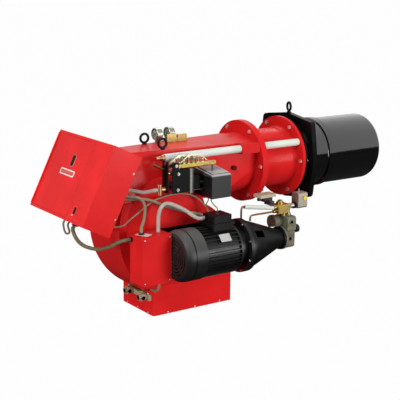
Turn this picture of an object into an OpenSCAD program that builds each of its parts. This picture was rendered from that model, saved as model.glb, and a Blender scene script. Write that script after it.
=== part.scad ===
// Industrial oil burner: scroll fan housing, burner head, control panel and pump drive.
// The origin is the centre of the boiler flange's mounting face, +X points into the furnace.

/* [Burner head] */
// Outer diameter of the blast tube
tube_d = 370; // [340:2:380]
// Length of the blast tube in front of the boiler flange
tube_len = 520; // [400:5:700]
// Wall of the blast tube
tube_wall = 6; // [4:0.5:9]
// Thickness of the boiler flange plate
plate_t = 28; // [20:1:34]
// Half-width of the boiler flange plate at its corners
plate_half = 205; // [200:1:215]
// Distance from the axis to the peak of each side of the plate
plate_peak = 235; // [225:1:245]
// Radius of the boiler flange plate's corners
plate_corner_r = 26; // [15:1:34]
// Spacing of the four studs of the boiler flange
stud_spacing = 350; // [340:1:360]
// Diameter of the stud holes
stud_hole_d = 18; // [14:1:22]
// Outer diameter of the round bolted flanges
disc_d = 436; // [425:1:450]
// Thickness of each round flange disc
disc_t = 18; // [12:1:22]
// Bolt circle of the round flanges
bolt_circle_d = 394; // [390:1:398]
// Bolts in each round flange
bolt_count = 6; // [6:1:6]
// Diameter of the flange bolts
bolt_d = 12; // [10:1:14]
// Outer diameter of the red spool between the round flanges
spool_d = 314; // [290:2:320]
// Length of the spool between its two discs
spool_len = 236; // [200:2:280]

/* [Air housing] */
// Width of the scroll across the fan axis
scroll_w = 296; // [280:2:320]
// Radius of the scroll's rear half
scroll_r = 405; // [395:1:412]
// Radius of the scroll's front half, below the outlet
throat_r = 258; // [245:1:262]
// Sheet thickness of the housing
sheet_t = 4; // [3:0.5:6]
// Height of the duct's flat top above the burner axis
duct_top = 127; // [120:1:135]
// Length of the outlet duct behind the rear round flange
outlet_len = 233; // [200:1:260]
// Width of the housing's top at the rear
rear_top_w = 150; // [120:2:180]
// Width of the housing's top at the outlet duct
mid_top_w = 264; // [240:2:280]
// Width of the inlet duct across the fan axis
inlet_w = 304; // [300:2:330]
// Length of the inlet duct along the burner axis
inlet_len = 491; // [480:1:510]
// Depth of the inlet duct's open bottom below the burner axis
inlet_bottom = 714; // [700:1:740]
// Diameter of the fan wheel
fan_d = 310; // [290:2:320]
// Width of the fan wheel
fan_w = 96; // [80:1:104]
// Blades of the fan wheel
fan_blades = 24; // [12:1:36]

/* [Control panel] */
// Width of the control panel
panel_w = 544; // [480:2:580]
// Height of the control panel along its face
panel_h = 409; // [380:1:420]
// Depth of the control panel
panel_d = 160; // [140:1:166]
// Tilt of the panel's face from the vertical, in degrees
panel_tilt = 26.2; // [24:0.1:28]
// Share of the face's width that opens as a door
door_share = 0.68; // [0.55:0.01:0.7]

/* [Pump drive] */
// Outer diameter of the pump motor's finned frame
motor_d = 252; // [240:1:256]
// Distance from the motor's axis to its foot plane
motor_foot_h = 132; // [131:1:136]
// Length of the finned frame
motor_frame_len = 218; // [200:1:230]
// Length of the motor's fan cowl
cowl_len = 106; // [96:1:110]
// Diameter of the pump motor's shaft
shaft_d = 28; // [24:1:32]
// Fins round each motor frame
motor_fins = 36; // [24:2:44]
// Length of the cone between the motor and the pump
bell_len = 262; // [255:1:285]
// Radial clearance of a shaft that runs in a bore
shaft_play = 0.05; // [0.03:0.01:0.08]

/* [Fan motor] */
// Outer diameter of the fan motor's finned frame
fan_motor_d = 300; // [280:2:310]
// Length of the fan motor's finned frame
fan_motor_len = 270; // [240:2:300]
// Diameter of the fan motor's shaft
fan_shaft_d = 42; // [38:1:46]

/* [Fittings] */
// Outer diameter of the pressure gauges
gauge_d = 66; // [60:1:70]
// Outer diameter of the pale supply pipe
supply_pipe_d = 38; // [34:1:40]
// Outer diameter of the large conduits
conduit_d = 20; // [16:1:22]
// Outer diameter of the small conduits
lead_d = 10; // [8:1:12]
// Outer diameter of the copper oil pipes
oil_pipe_d = 10; // [8:1:12]
// Outer diameter of a lifting eye's ring
eye_d = 58; // [52:1:62]

/* [Hidden] */
$fn = 64;

// A small gap that lets a moving piece clear its neighbour
gap = 0.5;
eps = 0.01;

// Places along the burner axis
tube_r = tube_d / 2;
collar_t = 12;
hub_x0 = -plate_t - collar_t;
hub_disc_t = 15;
hub_len = 27;
spool_front = hub_x0 - hub_len;
spool_x1 = spool_front - disc_t;
spool_x0 = spool_x1 - spool_len;
rear_disc_x = spool_x0 - disc_t;
outlet_front = rear_disc_x - disc_t;
outlet_rear = outlet_front - outlet_len;

// Fan axis and the scroll round it
fan_x = -900;
fan_z = -262;
scroll_x = -781;
scroll_z = -257;
throat_z = scroll_z - scroll_r + throat_r;
scroll_bottom = scroll_z - scroll_r;
duct_bottom = -146;
scroll_y = scroll_w / 2;
rear_x = -1130;
inlet_x1 = -501;
inlet_x0 = inlet_x1 - inlet_len;
inlet_top = -560;

module box(x, y, z) {
    translate([x[0], y[0], z[0]]) cube([x[1] - x[0], y[1] - y[0], z[1] - z[0]]);
}

// A round bar between two stations on the X, Y or Z direction
module xbar(r, x0, x1, y = 0, z = 0) {
    translate([x0, y, z]) rotate([0, 90, 0]) cylinder(r = r, h = x1 - x0);
}
module ybar(r, y0, y1, x, z) {
    translate([x, y0, z]) rotate([-90, 0, 0]) cylinder(r = r, h = y1 - y0);
}
module zbar(r, z0, z1, x, y) {
    translate([x, y, z0]) cylinder(r = r, h = z1 - z0);
}
module xcone(r0, r1, x0, x1, y = 0, z = 0) {
    translate([x0, y, z]) rotate([0, 90, 0]) cylinder(r1 = r0, r2 = r1, h = x1 - x0);
}

// A bar with a hexagonal section along X
module xhex(r, x0, x1, y, z) {
    translate([x0, y, z]) rotate([0, 90, 0]) cylinder(r = r, h = x1 - x0, $fn = 6);
}

// A profile of [x, radius] points turned round the X direction
module xturn(points, y = 0, z = 0) {
    translate([0, y, z]) rotate([0, 90, 0]) rotate_extrude() polygon([for (p = points) [p[1], p[0]]]);
}

// Copies of the children round the burner axis, at a radius, from the top towards the operator's side
module round_axis(count, radius, start) {
    for (i = [0 : count - 1]) {
        a = start + i * 360 / count;
        translate([0, -radius * sin(a), radius * cos(a)]) children();
    }
}

// A rounded rectangle centred on the origin
module rounded_rect(w, h, r) {
    square([w, h - 2 * r], center = true);
    square([w - 2 * r, h], center = true);
    for (x = [-1, 1]) for (y = [-1, 1])
        translate([x * (w / 2 - r), y * (h / 2 - r)]) circle(r, $fn = 32);
}

// A smooth curve through a route's own points
function curve(p, n) = concat([for (i = [0 : len(p) - 2]) for (k = [0 : n - 1])
    let (t = k / n, a = p[max(i - 1, 0)], b = p[i], c = p[i + 1], d = p[min(i + 2, len(p) - 1)])
    0.5 * (2 * b + (c - a) * t + (2 * a - 5 * b + 4 * c - d) * t * t
        + (3 * b - a - 3 * c + d) * t * t * t)], [p[len(p) - 1]]);
function unit(v) = v / norm(v);
function heading(p, first, final) = [for (i = [0 : len(p) - 1]) i == 0 ? first
    : i == len(p) - 1 ? final : unit(p[i + 1] - p[i - 1])];
function across(t) = unit(cross(t, abs(t[2]) < 0.8 ? [0, 0, 1] : [1, 0, 0]));
function sides_of(t) = [for (i = 0, n = across(t[0]); i < len(t);
    i = i + 1, n = i < len(t) ? unit(n - (n * t[i]) * t[i]) : n) n];

// A round tube swept along a route
module sweep(route, r, steps = 4, sides = 8) {
    p = curve(route, steps);
    far = len(route) - 1;
    t = heading(p, unit(route[1] - route[0]), unit(route[far] - route[far - 1]));
    n = sides_of(t);
    last = len(p) - 1;
    points = [for (i = [0 : last]) for (k = [0 : sides - 1])
        p[i] + r * (cos(360 * k / sides) * n[i] + sin(360 * k / sides) * cross(t[i], n[i]))];
    walls = [for (i = [0 : last - 1]) for (k = [0 : sides - 1]) let (m = (k + 1) % sides)
        [i * sides + k, (i + 1) * sides + k, (i + 1) * sides + m, i * sides + m]];
    start_cap = [for (k = [0 : sides - 1]) k];
    end_cap = [for (k = [sides - 1 : -1 : 0]) last * sides + k];
    polyhedron(points, concat([start_cap], walls, [end_cap]));
}

// Burner head

// Quarter arc of the rolled lip, as [x, radius] points
function lip_arc(r, from, to, bend = 24) = [for (i = [0 : 6]) let (a = from + (to - from) * i / 6)
    [tube_len - bend + r * cos(a), tube_r - bend + r * sin(a)]];
module blast_tube() {
    lip = 24;
    color([0.05, 0.05, 0.06])
        xturn(concat([[hub_x0, tube_r - tube_wall], [hub_x0, tube_r + 14], [-plate_t, tube_r + 14],
            [-plate_t, tube_r]], lip_arc(lip, 90, 0), lip_arc(lip - tube_wall, 0, 90, lip)));
}

// Clamping band round the tube, with its screw lug
band_x0 = 126;
band_w = 45;
module tube_band() {
    band_t = 7;
    band_r = tube_r + gap;
    color([0.06, 0.06, 0.07]) {
        xturn([[band_x0, band_r], [band_x0 + 3, band_r + band_t], [band_x0 + band_w - 3, band_r + band_t],
            [band_x0 + band_w, band_r]]);
    }
}

module diffuser() {
    disc_x = tube_len - 110;
    disc_r = tube_r - tube_wall - 22;
    color([0.5, 0.5, 0.52]) difference() {
        union() {
            xturn([[disc_x, 24], [disc_x, disc_r], [disc_x + 22, disc_r], [disc_x + 22, disc_r - 3],
                [disc_x + 3, disc_r - 6], [disc_x + 3, 24]]);
            for (i = [0 : 2]) rotate([i * 120, 0, 0])
                box([disc_x + 4, disc_x + 16], [-4, 4], [disc_r - 1, tube_r - tube_wall - 0.2]);
        }
        for (i = [0 : 15]) rotate([i * 22.5, 0, 0])
            box([disc_x - 1, disc_x + 5], [-4, 4], [50, disc_r - 25]);
    }
}

// Central oil lance with the nozzle at its tip, carried by a three-legged spider
module nozzle_lance() {
    tip_x = tube_len - 92;
    spider_x = 40;
    color([0.72, 0.62, 0.35]) {
        xbar(16, rear_disc_x + 40, tip_x - 60);
        xcone(16, 22, tip_x - 60, tip_x - 40);
        xbar(22, tip_x - 40, tip_x - 14);
        xcone(16, 9, tip_x - 14, tip_x);
        for (i = [0 : 2]) rotate([60 + i * 120, 0, 0])
            box([spider_x, spider_x + 20], [-3, 3], [15, tube_r - tube_wall - 0.2]);
    }
}

module stud_holes(r) {
    for (y = [-1, 1]) for (z = [-1, 1])
        xbar(r, -plate_t - 1, 1, y * stud_spacing / 2, z * stud_spacing / 2);
}

module boiler_flange() {
    h = plate_half;
    p = plate_peak;
    r = plate_corner_r;
    edge_normal = [h, p - h] / norm([h, p - h]);
    c = h - r * norm([h, p - h]) / p;
    color([0.07, 0.07, 0.08]) difference() {
        rotate([90, 0, 90]) translate([0, 0, -plate_t]) linear_extrude(plate_t) {
            polygon([for (i = [0 : 3]) let (a = 90 * i) for (q = [[p, 0], c * [1, 1] + r * edge_normal,
                c * [1, 1] + r * [edge_normal[1], edge_normal[0]]])
                [q[0] * cos(a) - q[1] * sin(a), q[0] * sin(a) + q[1] * cos(a)]]);
            for (y = [-c, c]) for (z = [-c, c]) translate([y, z]) circle(r);
        }
        xbar(tube_r + 0.3, -plate_t - 1, 1);
        stud_holes(stud_hole_d / 2);
    }
}

module head_hub() {
    hub_r = bolt_circle_d / 2 - 14;
    color([0.1, 0.1, 0.11]) difference() {
        union() {
            xbar(disc_d / 2 - 3, spool_front, spool_front + hub_disc_t);
            xbar(hub_r, spool_front, hub_x0);
        }
        xbar(spool_d / 2 - 8, spool_front - 1, hub_x0 + 1);
        round_axis(bolt_count, bolt_circle_d / 2, -30) xbar(bolt_d / 2 + 0.5, spool_front - 1, hub_x0 + 1);
    }
}

// Spool between the two round flanges: a disc at each end and a flared front
module head_spool() {
    r = spool_d / 2;
    wall = 6;
    flare = 30;
    flare_r = r + 12;
    color([0.85, 0.1, 0.1]) difference() {
        union() {
            xturn([[rear_disc_x, r - wall], [rear_disc_x, disc_d / 2], [spool_x0, disc_d / 2],
                [spool_x0, r], [spool_x1 - flare, r], [spool_x1, flare_r], [spool_x1, disc_d / 2],
                [spool_front, disc_d / 2], [spool_front, r - wall]]);
            box([spool_x0 + 28, spool_x0 + 120], [-26, 26], [-r - 26, -r + 4]);
        }
        round_axis(bolt_count, bolt_circle_d / 2, -30)
            xbar(bolt_d / 2 + 0.5, rear_disc_x - 1, spool_front + 1);
        xbar(r - wall, rear_disc_x - 1, spool_front + 1);
        xbar(supply_pipe_d / 2 + 0.3, spool_x0, spool_x1, pipe_y, pipe_z);
    }
}

// Two joints of hexagon bolts and nuts through the round flanges
module bolt_set(head_x, nut_x) {
    round_axis(bolt_count, bolt_circle_d / 2, -30) {
        xbar(bolt_d / 2, head_x, nut_x + 2);
        xhex(bolt_d * 0.9, head_x - 8, head_x, 0, 0);
        xhex(bolt_d * 0.9, nut_x, nut_x + 9, 0, 0);
    }
}
module flange_bolts() {
    color([0.75, 0.74, 0.7]) {
        bolt_set(outlet_front, spool_x0);
        bolt_set(spool_x1, spool_front + hub_disc_t);
    }
}

// Air housing

// The duct's section at the round flange: flat top and a round underside
module flange_section(inset, x0, x1) {
    r = disc_d / 2 - 66 - inset;
    rotate([90, 0, 90]) translate([0, 0, x0]) linear_extrude(x1 - x0) {
        circle(r);
        translate([-r, 0]) square([2 * r, duct_top - inset]);
    }
}

module mid_section(inset, x0, x1) {
    w = mid_top_w - 2 * inset;
    box([x0, x1], [-w / 2, w / 2], [duct_bottom + inset, duct_top - inset]);
}

pipe_y = -165;
pipe_z = 101;
damper_x = -494;
module duct_shape(inset, over) {
    hull() {
        flange_section(inset, outlet_front - 8, outlet_front + over);
        mid_section(inset, outlet_rear - over, outlet_rear + 2);
    }
}
module outlet_duct() {
    color([0.87, 0.12, 0.11]) difference() {
        union() {
            duct_shape(0, 0);
            xbar(disc_d / 2, outlet_front, outlet_front + disc_t);
            box([-472, outlet_front], [pipe_y - 24, -120], [pipe_z - 26, duct_top - 1]);
        }
        duct_shape(sheet_t, 1);
        xbar(spool_d / 2 - 6, outlet_front - 1, outlet_front + disc_t + 1);
        round_axis(bolt_count, bolt_circle_d / 2, -30)
            xbar(bolt_d / 2 + 0.5, outlet_front - 9, outlet_front + disc_t + 1);
        xbar(supply_pipe_d / 2 + 0.3, -480, -450, pipe_y, pipe_z);
        ybar(12 + shaft_play, -200, 200, damper_x, 0);
    }
}

// Side outline of the scroll below the outlet duct
module scroll_outline(inset) {
    difference() {
        translate([scroll_x, scroll_z]) circle(scroll_r - inset, $fn = 128);
        translate([scroll_x, scroll_bottom - 10]) square([500, 1200]);
        translate([scroll_x - 600, shoulder_z - inset]) square([1200, 800]);
    }
    intersection() {
        translate([scroll_x, throat_z]) circle(throat_r - inset, $fn = 96);
        translate([scroll_x - eps, scroll_bottom - 10]) square([500, 1200]);
    }
}
shoulder_z = -110;
shoulder_y = scroll_y - 14;

// Upper part of the housing: leaning walls, narrow at the rear and wide at the outlet duct
module upper_shape(inset, over) {
    w = rear_top_w / 2 - inset;
    hull() {
        mid_section(inset, outlet_rear - 2, outlet_rear + over);
        box([rear_x + 40, rear_x + 60], [-w, w], [duct_top - 60, duct_top - inset]);
        box([rear_x + inset, rear_x + 20], [-w, w], [0, duct_top - 40 - inset]);
        box([-1158 + inset, -760], [-shoulder_y + inset, shoulder_y - inset],
            [shoulder_z - 2 - inset, shoulder_z + 2]);
    }
}
module scroll_solid(inset, over) {
    rotate([90, 0, 0]) translate([0, 0, -scroll_y + inset])
        linear_extrude(scroll_w - 2 * inset) scroll_outline(inset);
    upper_shape(inset, over);
}
module scroll_housing() {
    color([0.86, 0.11, 0.11]) difference() {
        scroll_solid(0, 0);
        scroll_solid(sheet_t, 1);
        ybar(fan_shaft_d / 2 + 12, scroll_y - 30, scroll_y + 10, fan_x, fan_z);
        box([inlet_x0 + 60, scroll_x + 150], [-scroll_y + 20, -10], [scroll_bottom - 20, scroll_bottom + 70]);
    }
}

// Raised round cover of the fan's inlet side, the seat of the pump drive
cover_y = -200;
cover_x = -905;
cover_z = -235;
module cover_cone(inset = 0) {
    translate([cover_x, 0, cover_z]) rotate([90, 0, 0]) rotate_extrude()
        polygon([[0, 60], [236 - inset, 60], [236 - inset, 150 - inset / 2],
            [172 - inset / 2, -cover_y - inset], [0, -cover_y - inset]]);
}
module fan_cover() {
    color([0.84, 0.11, 0.11]) difference() {
        cover_cone();
        cover_cone(sheet_t);
        scroll_solid(0, 0);
    }
}

module drum(over) {
    rotate([90, 0, 0]) translate([0, 0, -scroll_y - over]) linear_extrude(scroll_w + 2 * over)
        scroll_outline(-over);
}
inlet_bend = 14;
module inlet_box(inset, z0, z1) {
    translate([(inlet_x0 + inlet_x1) / 2, 0, z0]) linear_extrude(z1 - z0)
        rounded_rect(inlet_len - 2 * inset, inlet_w - 2 * inset, inlet_bend - inset);
}
module inlet_duct() {
    y = inlet_w / 2;
    flange_w = 24;
    color([0.86, 0.12, 0.11]) difference() {
        inlet_box(0, -inlet_bottom, inlet_top);
        difference() {
            inlet_box(sheet_t, -inlet_bottom - 1, inlet_top - sheet_t);
            for (x = [inlet_x0, inlet_x1 - flange_w])
                box([x, x + flange_w], [-y, y], [-inlet_bottom, -inlet_bottom + sheet_t]);
        }
        drum(0);
        for (x = [inlet_x0 + 12, inlet_x1 - 12]) for (sy = [-1, 1])
            zbar(5.5, -inlet_bottom - 1, -inlet_bottom + sheet_t + 1, x, sy * inlet_bolt_y);
    }
}
inlet_bolt_y = 120;

// Intake passage inside the housing's near half: a plate with the fan's bell mouth
eye_r = fan_d / 2 - 45;
partition_y = -20;
module intake_throat() {
    color([0.6, 0.1, 0.1]) difference() {
        union() {
            rotate([90, 0, 0]) translate([0, 0, -partition_y - 0]) linear_extrude(sheet_t) intersection() {
                scroll_outline(sheet_t + 1);
                translate([scroll_x - 600, scroll_bottom]) square([1200, shoulder_z - scroll_bottom - 10]);
            }
            translate([fan_x, partition_y - sheet_t + eps, fan_z]) rotate([-90, 0, 0]) rotate_extrude()
                polygon([[eye_r, 0], [eye_r + 26, 0], [eye_r + 26, 4], [eye_r + 10, 8],
                    [eye_r + 4, 24], [eye_r, 24]]);
        }
        ybar(eye_r, partition_y - 30, partition_y + 30, fan_x, fan_z);
    }
}

// Centrifugal fan wheel with backward-leaning blades
fan_y0 = 12;
module fan_wheel() {
    r = fan_d / 2;
    hub_r = 40;
    color([0.62, 0.63, 0.65]) translate([fan_x, fan_y0, fan_z]) rotate([-90, 0, 0]) difference() {
        union() {
            translate([0, 0, fan_w - 4]) cylinder(r = r, h = 4);
            difference() {
                cylinder(r = r, h = 4);
                translate([0, 0, -1]) cylinder(r = eye_r + 8, h = 6);
            }
            for (i = [0 : fan_blades - 1]) rotate([0, 0, i * 360 / fan_blades])
                translate([r - 24, 0, 2]) rotate([0, 0, 35]) translate([-22, -1.5, 0])
                    cube([44, 3, fan_w - 4]);
            translate([0, 0, fan_w - 44]) cylinder(r = hub_r, h = 56);
        }
        translate([0, 0, -1]) cylinder(r = fan_shaft_d / 2 + 0.3, h = fan_w + 40);
    }
}

module air_damper() {
    blade_w = spool_d - 66;
    color([0.55, 0.55, 0.57]) difference() {
        union() {
            ybar(12, -disc_d / 2 + 62, disc_d / 2 - 62, damper_x, 0);
            box([damper_x - 100, damper_x + 100], [-blade_w / 2, blade_w / 2], [-2, 2]);
        }
        box([damper_x - 9, damper_x + 9], [-disc_d / 2, -disc_d / 2 + 66], [-1.5, 1.5]);
    }
}

// A lifting eye: ring on a collar, standing at the origin, with the ring facing X
module lifting_eye() {
    r = eye_d / 2;
    wire = 6.5;
    cylinder(r = 12, h = 4);
    cylinder(r = 8, h = 9);
    translate([0, 0, r + 2.5]) rotate([0, 90, 0]) rotate_extrude() translate([r - wire, 0])
        circle(wire, $fn = 24);
}
eye_x = -896;
eye_y = 85;
module lifting_eyes() {
    color([0.05, 0.05, 0.05]) {
        for (y = [-eye_y, eye_y]) translate([eye_x, y, duct_top]) rotate([0, 0, 85]) lifting_eye();
        translate([-plate_t / 2, 0, plate_peak]) rotate([0, 0, -15]) lifting_eye();
    }
}

// Electric motors

// Finned frame from the origin along +Z, with a bore for the shaft
module finned_frame(r, h, fins, bore_r) {
    linear_extrude(h) difference() {
        union() {
            circle(r - 16, $fn = 96);
            intersection() {
                circle(r, $fn = 96);
                for (i = [0 : fins / 2 - 1]) rotate(i * 360 / fins) square([2 * r + 4, 4], center = true);
            }
        }
        circle(bore_r);
    }
}

// Fan cowl, open towards the frame, with a grille of ring slots; the origin is its closed end
module fan_cowl(r, h) {
    slot_w = 5;
    spoke_w = 12;
    pitch = (r - 62) / 4;
    difference() {
        rotate_extrude() polygon([[0, 0], [r - 30, 0], [r - 14, 4], [r - 4, 15], [r, 32], [r, h],
            [r - 3, h], [r - 3, 33], [r - 7, 17], [r - 16, 7.5], [r - 31, 4], [0, 4]]);
        translate([0, 0, -1]) linear_extrude(7) difference() {
            for (i = [0 : 4]) difference() {
                circle(24 + i * pitch + slot_w);
                circle(24 + i * pitch);
            }
            for (a = [45, 135]) rotate(a) square([2 * r, spoke_w], center = true);
        }
    }
}

// Rotor of a motor: shaft and cooling fan; z0 is the fan's back, z1 the shaft's free end
module rotor(r, shaft_r, fan_z0, z1) {
    translate([0, 0, fan_z0]) cylinder(r = shaft_r, h = z1 - fan_z0);
    translate([0, 0, fan_z0]) cylinder(r = shaft_r + 14, h = 34);
    for (i = [0 : 7]) rotate([0, 0, i * 45]) translate([shaft_r + 10, -1.5, fan_z0])
        cube([r - shaft_r - 26, 3, 30]);
}

fan_motor_y = scroll_y + 22;
fan_cowl_len = 96;
module fan_motor_frame() {
    r = fan_motor_d / 2;
    color([0.1, 0.1, 0.11]) translate([fan_x, 0, fan_z]) rotate([-90, 0, 0]) {
        difference() {
            translate([0, 0, scroll_y]) cylinder(r = r + 18, h = 22);
            translate([0, 0, scroll_y - 1]) cylinder(r = fan_shaft_d / 2 + shaft_play, h = 40);
        }
        translate([0, 0, fan_motor_y]) finned_frame(r, fan_motor_len, motor_fins,
            fan_shaft_d / 2 + shaft_play);
        translate([-60, -r - 46, fan_motor_y + 40]) cube([120, 64, 130]);
    }
}
module fan_motor_cowl() {
    color([0.16, 0.16, 0.17]) translate([fan_x, fan_motor_y + fan_motor_len + fan_cowl_len, fan_z])
        rotate([90, 0, 0]) fan_cowl(fan_motor_d / 2 + 3.3, fan_cowl_len + 12);
}
module fan_motor_rotor() {
    color([0.6, 0.6, 0.62]) translate([fan_x, fan_motor_y + fan_motor_len + 50, fan_z])
        rotate([90, 0, 0]) rotor(fan_motor_d / 2 - 6, fan_shaft_d / 2, 0,
            fan_motor_y + fan_motor_len + 50 - fan_y0 - 40);
}

// Pump drive

motor_x0 = -996;
motor_y = cover_y - 10 - motor_foot_h;
motor_z = -352;
frame_x0 = motor_x0 + cowl_len;
frame_x1 = frame_x0 + motor_frame_len;
shield_len = 72;
flange_t = 20;
bell_x0 = frame_x1 + shield_len;
bell_x1 = bell_x0 + bell_len;
plate_top = -243;

module motor_plate() {
    color([0.04, 0.04, 0.05]) difference() {
        box([cover_x - 130, frame_x1 - 10], [cover_y - 10, cover_y], [-500, plate_top]);
        box([cover_x - 200, frame_x0 + 20], [cover_y - 20, cover_y + 10], [-600, -440]);
    }
}

module at_motor() {
    translate([0, motor_y, motor_z]) rotate([0, 90, 0]) children();
}
module motor_frame() {
    r = motor_d / 2;
    color([0.09, 0.09, 0.1]) {
        difference() {
            union() {
                translate([frame_x0, motor_y, motor_z]) rotate([0, 90, 0])
                    finned_frame(r, motor_frame_len, motor_fins, 10);
                xturn([[frame_x1, 0], [frame_x1, r - 4], [frame_x1 + 12, r - 4], [frame_x1 + 12, r - 24],
                    [bell_x0 - flange_t, r - 24], [bell_x0 - flange_t, r + 10], [bell_x0, r + 10],
                    [bell_x0, 0]], motor_y, motor_z);
                box([frame_x0 + 16, frame_x1 - 16], [cover_y - 10 - 24, cover_y - 10], [-480, -262]);
                box([frame_x0 + 16, frame_x1 - 16], [cover_y - 60, cover_y - 30], [-430, -285]);
            }
            xbar(shaft_d / 2 + shaft_play, motor_x0, bell_x0 + 1, motor_y, motor_z);
            for (i = [0 : 7]) translate([0, motor_y, motor_z]) rotate([22.5 + i * 45, 0, 0])
                xbar(4.2, bell_x0 - flange_t - 1, bell_x0 + 1, 0, r + 2);
        }
    }
}

module motor_cowl() {
    color([0.2, 0.2, 0.21]) translate([motor_x0, motor_y, motor_z]) rotate([0, 90, 0])
        fan_cowl(motor_d / 2 + 3.3, cowl_len + 12);
}

coupling_x = bell_x0 + 72;
pump_x0 = bell_x1;
module motor_rotor() {
    color([0.6, 0.6, 0.62]) {
        translate([motor_x0 + 46, motor_y, motor_z]) rotate([0, 90, 0])
            rotor(motor_d / 2 - 6, shaft_d / 2, 0, coupling_x + 10 - motor_x0 - 46);
        xbar(36, coupling_x, coupling_x + 34, motor_y, motor_z);
        xbar(33, coupling_x + 34, coupling_x + 44, motor_y, motor_z);
        xbar(36, coupling_x + 44, coupling_x + 78, motor_y, motor_z);
        xbar(10, coupling_x + 78, pump_x0 + 30, motor_y, motor_z);
    }
}

// Motor terminal box with its stepped lid, on top of the frame
tbox_x = [-811, -673];
tbox_y = [motor_y - 66, motor_y + 58];
tbox_lid_z = motor_z + motor_d / 2 + 10;
tbox_top = tbox_lid_z + 12 + 36;
module motor_terminal_box() {
    base_z = motor_z + motor_d / 2 - 16;
    lid_z = tbox_lid_z;
    cx = (tbox_x[0] + tbox_x[1]) / 2;
    cy = (tbox_y[0] + tbox_y[1]) / 2;
    w = tbox_x[1] - tbox_x[0];
    d = tbox_y[1] - tbox_y[0];
    color([0.12, 0.12, 0.12]) {
        difference() {
            translate([cx, cy, base_z - 12]) linear_extrude(lid_z - base_z + 12) rounded_rect(w - 14, d - 14, 6);
            at_motor() translate([0, 0, frame_x0 - 10]) cylinder(r = motor_d / 2 + 0.1, h = motor_frame_len + 20, $fn = 96);
        }
        translate([cx, cy, lid_z]) linear_extrude(12) rounded_rect(w, d, 8);
        translate([cx, cy, lid_z + 12]) linear_extrude(36) rounded_rect(w - 30, d - 24, 6);
    }
}

// Cone between the motor and the pump, with an inspection window
module bell_housing() {
    r0 = motor_d / 2 + 10;
    r1 = motor_d / 2 - 6;
    r2 = pump_spigot_r - 8;
    color([0.13, 0.13, 0.14]) difference() {
        xturn([[bell_x0, r0 - 34], [bell_x0, r0], [bell_x0 + 14, r0], [bell_x0 + 14, r1 + 1], [bell_x0 + 24, r1],
            [bell_x0 + 58, r1 - 4], [bell_x1 - 40, r2 + 4], [bell_x1 - 12, r2], [bell_x1 - 12, pump_spigot_r],
            [bell_x1, pump_spigot_r], [bell_x1, 30], [bell_x1 - 14, 30], [bell_x1 - 14, r2 - 9],
            [bell_x1 - 42, r2 - 5], [bell_x0 + 56, r1 - 13], [bell_x0 + 14, r1 - 13]], motor_y, motor_z);
        translate([0, motor_y, motor_z]) rotate([-38, 0, 0])
            box([bell_x0 + 34, bell_x0 + 94], [-140, -60], [-19, 19]);
        for (i = [0 : 7]) translate([0, motor_y, motor_z]) rotate([22.5 + i * 45, 0, 0])
            xbar(4.2, bell_x0 - 1, bell_x0 + 16, 0, motor_d / 2 + 2);
    }
}

module drive_bolts() {
    r = motor_d / 2 + 2;
    color([0.78, 0.77, 0.74]) {
        for (i = [0 : 7]) translate([0, motor_y, motor_z]) rotate([22.5 + i * 45, 0, 0]) {
            xbar(4, bell_x0 - flange_t, bell_x0 + 14, 0, r);
            xhex(6.5, bell_x0 - flange_t - 6, bell_x0 - flange_t, 0, r);
        }
    }
}

// Radius of the flange where the pump sits on the cone
pump_spigot_r = 60;
// Gear pump: round-backed cast body with its cover flange and ports
pump_len = 66;
pump_y = motor_y;
pump_top = -236;
module pump_body() {
    x0 = pump_x0;
    x1 = pump_x0 + pump_len;
    color([0.5, 0.52, 0.44]) difference() {
        union() {
            xbar(pump_spigot_r + 2, x0, x0 + 12, pump_y, motor_z);
            rotate([90, 0, 90]) translate([pump_y, motor_z, x0 + 10]) linear_extrude(pump_len - 10) union() {
                translate([0, 22]) rounded_rect(88, 150, 22);
                translate([0, 76]) rounded_rect(104, 80, 14);
            }
            xbar(34, x0 - 34, x0 + 12, boss_y, boss_z);
            xbar(37, x0 - 40, x0 - 26, boss_y, boss_z);
        }
        xbar(10 + shaft_play, x0 - 1, x0 + 31, pump_y, motor_z);
        at_motor() translate([0, 0, bell_x0]) cylinder(r1 = motor_d / 2 + 2, r2 = pump_spigot_r + 1, h = bell_len - 14);
        xbar(pump_spigot_r + 3, x0 - 14, x0, pump_y, motor_z);
        xbar(8 + shaft_play, x1 - 20, x1 + 40, knob_y, knob_z);
    }
}
boss_y = -320;
boss_z = -268;
knob_y = -374;
knob_z = -306;
module pump_knob() {
    x1 = pump_x0 + pump_len;
    color([0.03, 0.03, 0.03]) {
        xbar(8, x1 - 19, x1 + 6, knob_y, knob_z);
        translate([x1 + 6, knob_y, knob_z]) rotate([0, 90, 0]) linear_extrude(20) union() {
            circle(19, $fn = 48);
            for (i = [0 : 11]) rotate(i * 30) translate([19, 0]) circle(2.4, $fn = 16);
        }
    }
}

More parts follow.
